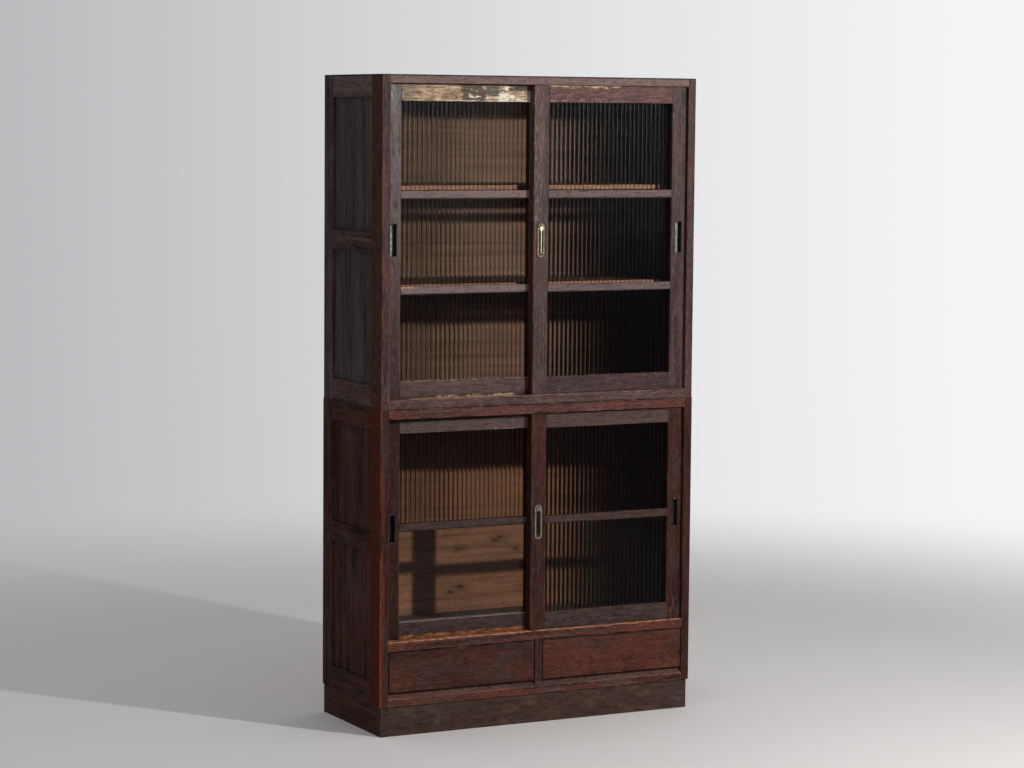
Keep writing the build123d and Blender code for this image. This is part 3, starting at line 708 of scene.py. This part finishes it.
door_marks = {
    "upper_left": (upper_left_stile_marks, upper_left_rail_marks, UPPER_STAIN),
    "upper_right": (upper_right_stile_marks, upper_right_rail_marks, UPPER_STAIN),
    "lower_left": (lower_left_stile_marks, lower_left_rail_marks, shade(LOWER_STAIN, 0.85)),
    "lower_right": (lower_right_stile_marks, lower_right_rail_marks, LOWER_STAIN),
}
for number, (door, (stile_marks, rail_marks, stain)) in enumerate(door_marks.items()):
    gloss = 0.25 if stain is UPPER_STAIN else 0.14
    for part, grain, seed, wear, marks in (
        ("stile", "Z", 11, 0.6, stile_marks),
        ("rail", "X", 15, 0.5, rail_marks),
    ):
        timber = wood(f"{door}_{part}_stain", grain, stain, seed + number, wear, gloss=gloss, marks=marks)
        finish(timber, f"{door}_door_{part}s")
print(len(door_marks), "doors finished")

# %% [markdown]
# ## Drawers and plinth
# The drawer fronts are blotchy dark red, and the plinth has gone grey-brown from mops, with one
# redder place near its middle.


# %% Drawers and plinth
# The borders of the drawers' fronts along the gaps round them, painted dark as the gaps' shade
DRAWER_GAPS = (
    {"z": (0.10, 0.1140)},
    {"z": (0.2152, 0.23)},
    {"x": (-0.44, -0.4285)},
    {"x": (-0.0142, 0.0142)},
    {"x": (0.4285, 0.44)},
)


def drawer_marks(recipe, colour):
    """Large blotches of red and of grey-brown, and painted shade along the gaps round the front."""
    blotch = recipe.noise((11, 11, 20), (2, 2, 7), detail=5, roughness=0.6)
    colour = recipe.wash(colour, (0.080, 0.022, 0.014), recipe.between(blotch, 0.40, 0.55), 0.45)
    colour = recipe.wash(colour, (0.100, 0.040, 0.022), recipe.between(blotch, 0.56, 0.68), 0.7)
    grey = recipe.noise((9, 9, 14), (5, 2, 3), detail=5, roughness=0.65)
    colour = recipe.wash(colour, (0.050, 0.034, 0.030), recipe.between(grey, 0.5, 0.66), 0.7)
    for limits in DRAWER_GAPS:
        # Painted shade along the gaps round the front.
        colour = paint_shade(recipe, colour, 0.95, **limits)
    return colour


def right_drawer_marks(recipe, colour):
    """The right drawer has kept more of its red."""
    torn = recipe.noise((7, 7, 12), (8, 2, 1), detail=5, roughness=0.65)
    share = recipe.times(recipe.between(torn, 0.35, 0.6), 0.6)
    return drawer_marks(recipe, recipe.mix(share, colour, (0.15, 0.036, 0.018)))


def plinth_marks(recipe, colour):
    """Grey-brown all over, with a redder place low in the middle."""
    torn = recipe.noise((16, 16, 30), (2, 9, 7), detail=5, roughness=0.6)
    colour = recipe.mix(0.5, colour, (0.075, 0.050, 0.038))
    greenish = recipe.times(recipe.between(torn, 0.5, 0.7), 0.5)
    colour = recipe.mix(greenish, colour, (0.105, 0.080, 0.053))
    red = recipe.patch(0.08, x=(-0.16, 0.32), z=(-0.1, 0.1))
    return recipe.rub(colour, (0.12, 0.044, 0.026), red, torn, 0.35, 0.45, 0.30, 0.75)


for name, stain, seed, wear, marks, part in (
    ("left_drawer_stain", shade(LOWER_STAIN, 1.2), 20, 0.3, drawer_marks, "left_drawer_front"),
    ("right_drawer_stain", shade(LOWER_STAIN, 1.3), 21, 0.3, right_drawer_marks, "right_drawer_front"),
    ("plinth_front_stain", LOWER_STAIN, 9, 0.2, plinth_marks, "plinth_front_and_back"),
):
    finish(wood(name, "X", stain, seed, wear, gloss=0.15, marks=marks), part)
finish(wood("plinth_end_stain", "Y", LOWER_SIDE_STAIN, 10, gloss=0.1), "plinth_ends")

# %% [markdown]
# ## The boards inside
# Inside, the wood was never stained as dark: planks gone warm brown with age, shelves with raw
# front edges, and plain boxes for the drawers. The back planks have dark lines where they meet,
# and a few knots.

# %% Back planks
UPPER_BACK_STAIN = {
    "pores": (0.14, 0.072, 0.047),
    "body": (0.30, 0.165, 0.110),
    "light": (0.42, 0.245, 0.165),
    "warm": (0.36, 0.195, 0.125),
    "dull": (0.25, 0.155, 0.110),
    "scuffed": (0.42, 0.28, 0.19),
    "worn": (0.42, 0.27, 0.18),
}
LOWER_BACK_STAIN = {
    "pores": (0.195, 0.078, 0.042),
    "body": (0.385, 0.175, 0.092),
    "light": (0.51, 0.245, 0.132),
    "warm": (0.44, 0.190, 0.092),
    "dull": (0.34, 0.175, 0.098),
    "scuffed": (0.50, 0.30, 0.18),
    "worn": (0.50, 0.27, 0.15),
}
UPPER_JOINTS = (1.143, 1.238, 1.396)
LOWER_JOINTS = (0.524,)
KNOTS = (
    (-0.062, 0.413), (0.046, 0.431), (0.064, 0.438), (0.112, 0.405), (-0.081, 0.297), (-0.055, 0.311),
    (-0.12, 0.66), (0.2, 0.60), (-0.05, 1.19), (0.1, 1.50), (-0.15, 1.02), (0.24, 1.32),
)
KNOT_SIZE = 0.0038
KNOT_SQUASH = 0.42


def plank_marks(recipe, colour):
    """Dark joints between the planks, and knots with a dark ring."""
    for height in UPPER_JOINTS + LOWER_JOINTS:
        joint = recipe.patch(0.0008, z=(height - 0.0008, height + 0.0008))
        colour = recipe.wash(colour, (0.012, 0.007, 0.005), joint, 0.8)
    uneven = recipe.noise((60, 60, 120), (1, 1, 1), detail=3)
    wobble = recipe.times(recipe.math("SUBTRACT", uneven, 0.5), 0.012)
    for x, z in KNOTS:
        squash = {0: recipe.place, 1: (KNOT_SQUASH, 0, 1), 2: (-KNOT_SQUASH * x, 0, -z)}
        away = recipe.add("ShaderNodeVectorMath", squash, operation="MULTIPLY_ADD")
        length = recipe.add("ShaderNodeVectorMath", {0: away.outputs["Vector"]}, operation="LENGTH")
        distance = recipe.plus(length.outputs["Value"], wobble)
        halo = recipe.times(recipe.between(distance, 5 * KNOT_SIZE, KNOT_SIZE), 0.4)
        colour = recipe.mix(halo, colour, (0.10, 0.048, 0.024))
        core = recipe.times(recipe.between(distance, 1.4 * KNOT_SIZE, 0.8 * KNOT_SIZE), 0.9)
        colour = recipe.mix(core, colour, (0.03, 0.015, 0.009))
    return colour


for case, stain, seed in (("upper", UPPER_BACK_STAIN, 30), ("lower", LOWER_BACK_STAIN, 31)):
    finish(
        wood(f"{case}_back_wood", "X", stain, seed, 0.2, roughness=0.62, gloss=0.2, marks=plank_marks),
        f"{case}_back_planks",
    )
    finish(
        wood(f"{case}_back_rail_wood", "X", stain, seed + 20, roughness=0.62, gloss=0.2),
        f"{case}_back_rails",
    )

# %% Boards, shelves and boxes
BOARD_STAIN = {
    "pores": (0.05, 0.028, 0.018),
    "body": (0.13, 0.085, 0.058),
    "warm": (0.17, 0.10, 0.062),
    "dull": (0.11, 0.085, 0.07),
    "scuffed": (0.22, 0.16, 0.12),
    "worn": (0.28, 0.19, 0.13),
}
DECK_STAIN = {
    "pores": (0.02, 0.013, 0.011),
    "body": (0.06, 0.045, 0.038),
    "warm": (0.085, 0.055, 0.04),
    "dull": (0.08, 0.07, 0.065),
    "scuffed": (0.16, 0.13, 0.115),
    "worn": (0.26, 0.2, 0.16),
}
RAW_EDGE = (0.86, 0.43, 0.28)


def shelf_marks(recipe, colour):
    """The front edge was never stained."""
    edge = recipe.patch(0.003, y=(-0.2, -0.116))
    streaks = recipe.noise((22, 200, 300), (1, 7, 1), detail=4)
    raw = recipe.ramp(streaks, [(0.35, (0.62, 0.26, 0.15)), (0.6, RAW_EDGE)])
    return recipe.mix(edge, colour, raw)


for name, grain, stain, seed, marks, *names in (
    ("top_board_wood", "X", SIDE_STAIN, 33, None, "upper_top_board"),
    (
        "deck_wood", "X", DECK_STAIN, 34, None,
        "upper_floor", "lower_floor", "lower_top_board", "drawer_case_bottom",
    ),
    ("runner_wood", "Y", BOARD_STAIN, 35, None, "drawer_runners", "shelf_battens", "lower_floor_battens"),
    ("shelf_wood", "X", BOARD_STAIN, 36, shelf_marks, "shelves"),
    (
        "drawer_box_wood", "Y", BOARD_STAIN, 37, None,
        "left_drawer_sides_and_back", "right_drawer_sides_and_back",
    ),
    ("drawer_bottom_wood", "X", BOARD_STAIN, 38, None, "left_drawer_bottom", "right_drawer_bottom"),
):
    finish(wood(name, grain, stain, seed, roughness=0.62, gloss=0.2, marks=marks), *names)

# %% [markdown]
# ## Metal
# The upper lock's handle is brass that hands keep bright, the lower one's has gone black, and the
# finger pulls are thin steel gone dark. Tarnish is a noise that darkens the metal and makes it
# rougher in the same places, and edges stay brighter than flats. The locks' plates are as dark as
# the wood round them, and only a chipped ring still shines.


# %% Brass and steel
METAL_EDGE = 0.0006


def metal(name, bright, tarnished, amount, roughness, seed, shine=1.0, marks=None):
    """Metal whose tarnish is darker and rougher than its edges."""
    recipe = Recipe(bpy.data.materials.new(name))
    shift = (seed, seed * 2, seed * 3)
    patches = recipe.noise((170, 170, 90), shift, detail=6, roughness=0.7)
    tarnish = recipe.between(patches, 0.7 - 0.5 * amount, 0.85 - 0.4 * amount)
    round_normal, edge = recipe.edges(METAL_EDGE, 0.9)
    tarnish = recipe.times(tarnish, recipe.math("SUBTRACT", 1.0, recipe.times(edge, 0.7)))
    scratches = recipe.noise((1200, 1200, 90), shift, detail=2)
    colour = recipe.mix(tarnish, bright, tarnished)
    if marks:
        colour = marks(recipe, colour)
    rough = recipe.plus(recipe.times(tarnish, 0.25), recipe.times(scratches, 0.15))
    shader = recipe.add("ShaderNodeBsdfPrincipled", {
        "Base Color": colour,
        "Roughness": recipe.plus(rough, roughness),
        "Metallic": shine,
        "Normal": recipe.bump(patches, 0.25, 0.0002, Normal=round_normal),
    })
    return recipe.surface(shader.outputs["BSDF"])


# The painted shadow of each upper pull's right wall over its cup, from a little right of the middle; the rim
# is dark metal.
CUP_SHADOW = (0.004, 0.004, 0.004)
CUP_RIM = (0.030, 0.021, 0.019)
RIM_RISE = 0.003
RIM_DEPTH = 0.0004
SHADOW_FROM_MIDDLE = 0.0038
CUP_WIDTH = 0.02


def cup_marks(face, middle):
    """A pull's rim has gone as dark as the wood, and painted shadow of the cup's right wall blackens the
    right part of the cup.
    """
    def marks(recipe, colour):
        rim = recipe.patch(0.0003, y=(face - RIM_RISE, face + RIM_DEPTH))
        # Painted shadow in the right part of the cup.
        shadowed_half = recipe.patch(0.0010, x=(middle + SHADOW_FROM_MIDDLE, middle + CUP_WIDTH))
        return recipe.mix(rim, recipe.wash(colour, CUP_SHADOW, shadowed_half, 0.95), CUP_RIM)
    return marks


RING_OUTER = 0.0098
RING_INNER = 0.0072
RING_FADE = 0.0008
FIELD_EDGE = (0.0078, 0.0070)
# Where the painted shadow in the slot lies, beside the handle
SLOT_SIDES = (0.0012, 0.0060)
SLOT_ABOVE_FOOT = 0.012
SLOT_BELOW_HEAD = 0.024
PLATE_DIRT = (0.050, 0.036, 0.022)
PLATE_EDGE = (0.045, 0.026, 0.020)
SLOT_SHADOW = (0.004, 0.003, 0.003)


def plate_marks(low, high, ring_colour):
    """The plate is as dark as the wood but for a chipped bright ring, with painted shadow in the slot inside
    it.
    """
    def marks(recipe, colour):
        chips = recipe.noise((420, 420, 300), (2, 5, 1), detail=4, roughness=0.75)
        middle = (low + high) / 2
        straight = (high - low) / 2 - RING_OUTER
        above = recipe.math("ABSOLUTE", recipe.math("SUBTRACT", recipe.axes[2], middle))
        beyond = recipe.math("MAXIMUM", recipe.math("SUBTRACT", above, straight), 0.0)
        beside = recipe.math("ABSOLUTE", recipe.axes[0])
        squares = recipe.plus(recipe.math("POWER", beside, 2.0), recipe.math("POWER", beyond, 2.0))
        out = recipe.math("SQRT", squares)
        ring = recipe.times(
            recipe.between(out, RING_INNER, RING_INNER + RING_FADE),
            recipe.between(out, RING_OUTER, RING_OUTER - RING_FADE),
        )
        # Painted shadow of the trough's wall in the slot beside the handle.
        slot = recipe.patch(0.0005, x=SLOT_SIDES, z=(low + SLOT_ABOVE_FOOT, high - SLOT_BELOW_HEAD))
        worn = recipe.mix(recipe.between(chips, 0.40, 0.56), PLATE_DIRT, ring_colour)
        field = recipe.mix(recipe.between(chips, 0.52, 0.66), PLATE_DIRT, ring_colour)
        colour = recipe.mix(ring, PLATE_EDGE, worn)
        colour = recipe.mix(recipe.between(out, *FIELD_EDGE), colour, field)
        return recipe.mix(slot, colour, SLOT_SHADOW)
    return marks


for case, name, bright, tarnished, roughness, seed, ring_colour in (
    ("upper", "aged_brass", (0.62, 0.54, 0.32), (0.055, 0.042, 0.020), 0.4, 44, (0.62, 0.52, 0.30)),
    ("lower", "dull_brass", (0.34, 0.32, 0.23), (0.045, 0.041, 0.026), 0.45, 42, (0.50, 0.44, 0.30)),
):
    low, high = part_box(f"{case}_lock_plate")
    ring = plate_marks(low.z, high.z, ring_colour)
    plate = metal(name, bright, tarnished, 1.0, roughness, seed, shine=0.3, marks=ring)
    finish(plate, f"{case}_lock_plate", f"{case}_lock_socket")
for door, bright in (("left", 0.42), ("right", 0.30)):
    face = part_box(f"upper_{door}_door_stiles")[0].y
    low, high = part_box(f"upper_{door}_pull")
    steel = (0.98 * bright, 1.03 * bright, bright)
    cup = cup_marks(face, (low.x + high.x) / 2)
    dull = (0.5 * bright, 0.5 * bright, 0.5 * bright)
    finish(
        metal(f"{door}_worn_steel", steel, dull, 0.6, 0.5, 43, shine=0.2, marks=cup),
        f"upper_{door}_pull",
    )
for name, bright, tarnished, amount, roughness, seed, shine, *names in (
    (
        "polished_brass", (0.86, 0.74, 0.48), (0.42, 0.30, 0.13), 0.3, 0.24, 41, 0.8,
        "upper_lock_screw", "upper_lock_handle",
    ),
    ("worn_brass", (0.52, 0.44, 0.30), (0.10, 0.08, 0.045), 0.6, 0.4, 47, 0.4, "lower_lock_screw"),
    ("black_brass", (0.045, 0.036, 0.026), (0.010, 0.008, 0.007), 0.7, 0.5, 48, 0.3, "lower_lock_handle"),
    (
        "dark_steel", (0.050, 0.037, 0.036), (0.016, 0.012, 0.013), 0.75, 0.5, 45, 0.3,
        "lower_left_pull", "lower_right_pull",
    ),
):
    finish(metal(name, bright, tarnished, amount, roughness, seed, shine), *names)

# %% [markdown]
# ## Reeded glass
# All the panes but one are reeded: the front is a row of upright half-round flutes that break
# what is behind into stripes, and the back is flat. A bump can't do that, because each flute is
# a lens, so the flutes are modelled. A grid stands where the pane's front is, each of its points
# moves forward by an arc across its flute, and the sheet is then extruded to the flat back.
# The glass is tinted darker in the grooves between the flutes, so each point also stores how near it is to
# one.
# The lamp's light passes the glass by a Light Path trick, or the inside would stay dark.

# %% Glass finish
GLASS_IOR = 1.45
GLASS_TINT = (0.93, 0.93, 0.92)
GLASS_FILM = (0.82, 0.82, 0.80)
FILL_THROUGH_GLASS = (0.25, 0.25, 0.25)
GROOVE_DARK = (0.16, 0.14, 0.12)


def window_glass(name, ripple, light_through, grooved):
    """Clear glass that lets the lamp's light through, tinted darker in its grooves if it is reeded."""
    recipe = Recipe(bpy.data.materials.new(name))
    waves = recipe.noise((7, 7, 4), detail=1)
    film = recipe.noise((14, 14, 9), (3, 1, 2), detail=5)
    colour = recipe.mix(recipe.between(film, 0.45, 0.75), GLASS_TINT, GLASS_FILM)
    if grooved:
        # The glass is tinted darker towards the grooves between the flutes.
        stored = recipe.add("ShaderNodeAttribute", attribute_name="groove").outputs["Fac"]
        colour = recipe.wash(colour, GROOVE_DARK, recipe.between(stored, 0.45, 1.0), 0.78)
    surface = recipe.add("ShaderNodeBsdfPrincipled", {
        "Base Color": colour,
        "Roughness": 0.02,
        "IOR": GLASS_IOR,
        "Transmission Weight": 1.0,
        "Normal": recipe.bump(waves, 1.0, ripple),
    }).outputs["BSDF"]
    rays = recipe.add("ShaderNodeLightPath").outputs
    for ray, tint in (("Is Shadow Ray", light_through), ("Is Diffuse Ray", FILL_THROUGH_GLASS)):
        clear = recipe.add("ShaderNodeBsdfTransparent", {"Color": tint}).outputs["BSDF"]
        surface = recipe.switch(rays[ray], surface, clear)
    return recipe.surface(surface)


reeded_glass = window_glass("reeded_glass", 0.0002, (0.84, 0.84, 0.81), grooved=True)
sheet_glass = window_glass("sheet_glass", 0.0003, (0.96, 0.96, 0.94), grooved=False)
print(reeded_glass.name, "and", sheet_glass.name, "bend light by", GLASS_IOR)

# %% Panes
FLUTE_PITCH = 0.0125
FLUTE_RISE = 0.002
FLUTE_STEPS = 12
ROUND_BELOW = math.radians(40)
FLAT_ABOVE = math.radians(10)


def new_piece(name, material, body, slot, make, *given, sharp_angle=ROUND_BELOW):
    """Make a mesh object with a bmesh function, and let it ride on its body."""
    shape = bmesh.new()
    make(shape, *given)
    bmesh.ops.recalc_face_normals(shape, faces=shape.faces)
    mesh = bpy.data.meshes.new(name)
    shape.to_mesh(mesh)
    shape.free()
    mesh.materials.append(material)
    mesh.shade_smooth()
    mesh.set_sharp_from_angle(angle=sharp_angle)
    piece = bpy.data.objects.new(name, mesh)
    scene.collection.objects.link(piece)
    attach(piece, body)
    return piece


def reeded_sheet(shape, low, high):
    """One reeded pane in the box from low to high, with its flutes to the front."""
    groove = shape.verts.layers.float.get("groove") or shape.verts.layers.float.new("groove")
    width, height = high.x - low.x, high.z - low.z
    flutes = round(width / FLUTE_PITCH)
    pitch = width / flutes
    radius = (pitch * pitch / 4 + FLUTE_RISE * FLUTE_RISE) / (2 * FLUTE_RISE)
    upright = Matrix.Translation(((low.x + high.x) / 2, low.y + FLUTE_RISE, (low.z + high.z) / 2))
    upright = upright @ Matrix.Rotation(math.radians(90), 4, "X") @ Matrix.Diagonal((width, height, 1, 1))
    grid = bmesh.ops.create_grid(
        shape, x_segments=flutes * FLUTE_STEPS, y_segments=1, size=0.5, matrix=upright
    )["verts"]
    for vert in grid:
        along = (vert.co.x - low.x) / pitch
        across = (along - math.floor(along + 1e-6) - 0.5) * pitch
        vert[groove] = min(abs(across) * 2 / pitch, 1.0)
        vert.co.y -= math.sqrt(max(radius * radius - across * across, 0)) - (radius - FLUTE_RISE)
    front_faces = list({face for vert in grid for face in vert.link_faces})
    walls = bmesh.ops.extrude_face_region(shape, geom=front_faces)["geom"]
    for vert in [item for item in walls if isinstance(item, bmesh.types.BMVert)]:
        vert.co.y = high.y


def reeded_panes(shape, boxes):
    """All the reeded panes of one door."""
    for low, high in boxes:
        reeded_sheet(shape, low, high)


def pane_boxes(door):
    """The low and high corners of one door's panes, from the foot up."""
    shape = bmesh.new()
    shape.from_mesh(parts[f"{door}_panes"].data)
    bmesh.ops.remove_doubles(shape, verts=shape.verts, dist=1e-6)
    boxes = []
    waiting = set(shape.verts)
    while waiting:
        island = [waiting.pop()]
        for vert in island:
            for neighbour in [edge.other_vert(vert) for edge in vert.link_edges]:
                if neighbour in waiting:
                    waiting.remove(neighbour)
                    island.append(neighbour)
        low = Vector([min(vert.co[axis] for vert in island) for axis in range(3)])
        high = Vector([max(vert.co[axis] for vert in island) for axis in range(3)])
        boxes.append((low, high))
    shape.free()
    return sorted(boxes, key=lambda box: box[0].z)


for door in ("upper_left_door", "upper_right_door", "lower_left_door", "lower_right_door"):
    boxes = pane_boxes(door)
    if door == "lower_left_door":
        boxes = boxes[1:]
    piece = new_piece(f"{door}_reeded_panes", reeded_glass, door, "door_glass", reeded_panes, boxes)
    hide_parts(f"{door}_panes")
    print(door, len(boxes), "reeded panes,", len(piece.data.polygons), "faces")

# %% [markdown]
# The lowest pane of the lower left door was broken once and replaced with plain sheet glass.
# It starts as a cube that is scaled to the pane, and its arrises are ground a little. Its faces
# must be shaded flat: smoothed across the arrises, the whole pane would bend light like a lens.

# %% The plain pane
PANE_ARRIS = 0.0004
sheet_low, sheet_high = pane_boxes("lower_left_door")[0]


def plain_sheet(shape):
    """A flat pane with ground arrises."""
    size = sheet_high - sheet_low
    place = Matrix.Translation((sheet_low + sheet_high) / 2) @ Matrix.Diagonal((*size, 1))
    bmesh.ops.create_cube(shape, size=1.0, matrix=place)
    bmesh.ops.bevel(
        shape, geom=list(shape.edges), offset=PANE_ARRIS, segments=2, affect="EDGES", profile=0.5, material=-1
    )


plain_pane = new_piece(
    "lower_left_door_plain_pane", sheet_glass, "lower_left_door", "door_glass",
    plain_sheet, sharp_angle=FLAT_ABOVE,
)
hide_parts("lower_left_door_panes")
print("plain pane", [round(value, 4) for value in sheet_high - sheet_low])

# %% [markdown]
# ## Nails of the lower pulls
# Each lower pull is held by two small round-headed nails through its rim, one over the cup and
# one under it. A head is a low dome: a sphere is squashed, and its back half is cut away where
# it would be inside the rim.

# %% Nails
NAIL_RADIUS = 0.0012
NAIL_RISE = 0.0008
NAIL_INSET = 0.00125
bright_nail = metal("bright_nail", (0.72, 0.62, 0.52), (0.25, 0.2, 0.16), 0.35, 0.22, 46)


def nail_heads(shape, centres):
    """Low domes with their flat backs on the rim."""
    for x, face, z in centres:
        place = Matrix.Translation((x, face, z)) @ Matrix.Diagonal((NAIL_RADIUS, NAIL_RISE, NAIL_RADIUS, 1))
        ball = bmesh.ops.create_uvsphere(
            shape, u_segments=16, v_segments=12, radius=1.0, matrix=place
        )["verts"]
        touched = [*ball, *{edge for vert in ball for edge in vert.link_edges}]
        touched += list({item for vert in ball for item in vert.link_faces})
        cut = bmesh.ops.bisect_plane(
            shape, geom=touched, plane_co=(x, face, z), plane_no=(0, 1, 0), clear_outer=True
        )["geom_cut"]
        rim = [item for item in cut if isinstance(item, bmesh.types.BMEdge)]
        bmesh.ops.holes_fill(shape, edges=rim, sides=0)


for side in ("left", "right"):
    low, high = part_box(f"lower_{side}_pull")
    middle = (low.x + high.x) / 2
    centres = [(middle, low.y, low.z + NAIL_INSET), (middle, low.y, high.z - NAIL_INSET)]
    nails = new_piece(
        f"lower_{side}_pull_nails", bright_nail, f"lower_{side}_door", "pull_metal", nail_heads, centres
    )
    print(nails.name, len(nails.data.polygons), "faces")

# %% [markdown]
# ## Light, floor and background
# One small lamp stands to the right at a little over head height, and a plain pale surrounding
# fills the shadows. The floor fades out with distance, so that it has no edge against the
# background.
#
# Dark glass shows what stands before it. So rays that mirror don't see the pale background: they
# see a dim room, with a lit wall at its right, and the pale floor nearly vanishes for them.

# %% Lamp
LAMP_PLACE = Vector((1.45, -2.95, 1.99))
LAMP_AIM = Vector((0.0, -0.1, 0.9))
LAMP_SIZE = 0.11
LAMP_POWER = 70.0
LAMP_COLOUR = (1.0, 0.985, 0.96)

lamp_data = bpy.data.lights.new("lamp", "AREA")
lamp_data.shape = "DISK"
lamp_data.size = LAMP_SIZE
lamp_data.energy = LAMP_POWER
lamp_data.color = LAMP_COLOUR
lamp = bpy.data.objects.new("lamp", lamp_data)
scene.collection.objects.link(lamp)
lamp.location = LAMP_PLACE
lamp.rotation_mode = "QUATERNION"
lamp.rotation_quaternion = (LAMP_AIM - LAMP_PLACE).to_track_quat("-Z", "Y")
print(f"lamp {(LAMP_AIM - LAMP_PLACE).length:.2f} m away")

# %% Surroundings
FILL_LIGHT = (0.42, 0.42, 0.43)
PALE_LEFT = (0.44, 0.445, 0.46)
PALE_RIGHT = (0.94, 0.945, 0.96)
DIM_ROOM = (0.045, 0.042, 0.052)
LIT_WALL = (0.95, 0.98, 1.0)
# Where the surroundings change, as parts of a direction's length
BRIGHT_TO_RIGHT = (0.2, 0.68)
BRIGHT_BEHIND = (-0.2, 0.4)
WALL_TO_RIGHT = (0.66, 0.82)
WALL_FOOT = (-0.07, 0.005)

world = bpy.data.worlds.new("surroundings")
scene.world = world
sky = Recipe(world, "ShaderNodeOutputWorld", "Generated")
right, back, up = sky.axes


def backdrop(colour):
    """What one kind of ray sees where it meets nothing."""
    return sky.add("ShaderNodeBackground", {"Color": colour}).outputs[0]


bright = sky.times(sky.between(right, *BRIGHT_TO_RIGHT), sky.between(back, *BRIGHT_BEHIND))
wall = sky.times(sky.between(up, *WALL_FOOT), sky.between(right, *WALL_TO_RIGHT))
rays = sky.add("ShaderNodeLightPath").outputs
surroundings = backdrop(sky.mix(bright, PALE_LEFT, PALE_RIGHT))
for ray, colour in (("Is Glossy Ray", sky.mix(wall, DIM_ROOM, LIT_WALL)), ("Is Diffuse Ray", FILL_LIGHT)):
    surroundings = sky.switch(rays[ray], surroundings, backdrop(colour))
sky.surface(surroundings)
print(world.name, "has", len(sky.tree.nodes), "nodes")

# %% Floor
FLOOR_RADIUS = 7.0
FLOOR_COLOUR = (0.95, 0.925, 0.915)
SMUDGE_COLOUR = (0.91, 0.885, 0.875)
FADE_START = 1.6
FADE_END = 4.4
HIDDEN_IN_GLASS = 0.95

floor_mesh = bpy.data.meshes.new("floor")
disc = bmesh.new()
bmesh.ops.create_circle(disc, cap_ends=True, segments=64, radius=FLOOR_RADIUS)
disc.to_mesh(floor_mesh)
disc.free()
floor = bpy.data.objects.new("floor", floor_mesh)
scene.collection.objects.link(floor)
floor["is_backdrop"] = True

paint = Recipe(bpy.data.materials.new("floor_paint"))
distance = paint.add("ShaderNodeVectorMath", {0: paint.place}, operation="LENGTH").outputs["Value"]
fade = paint.between(distance, FADE_START, FADE_END)
smudges = paint.noise((3, 3, 3), detail=5)
matt_paint = paint.add("ShaderNodeBsdfPrincipled", {
    "Base Color": paint.mix(smudges, FLOOR_COLOUR, SMUDGE_COLOUR),
    "Roughness": 0.5,
}).outputs["BSDF"]
nothing = paint.add("ShaderNodeBsdfTransparent").outputs["BSDF"]
mirror_rays = paint.add("ShaderNodeLightPath").outputs["Is Glossy Ray"]
hidden = paint.math("MAXIMUM", fade, paint.times(mirror_rays, HIDDEN_IN_GLASS))
floor_mesh.materials.append(paint.surface(paint.switch(hidden, matt_paint, nothing)))
print("floor fades out from", FADE_START, "to", FADE_END, "m")

# %% [markdown]
# ## Finish
# The dressed cabinet must stay the size of its frame, so the box round everything it shows is measured.

# %% Sizes, and the end
low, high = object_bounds()
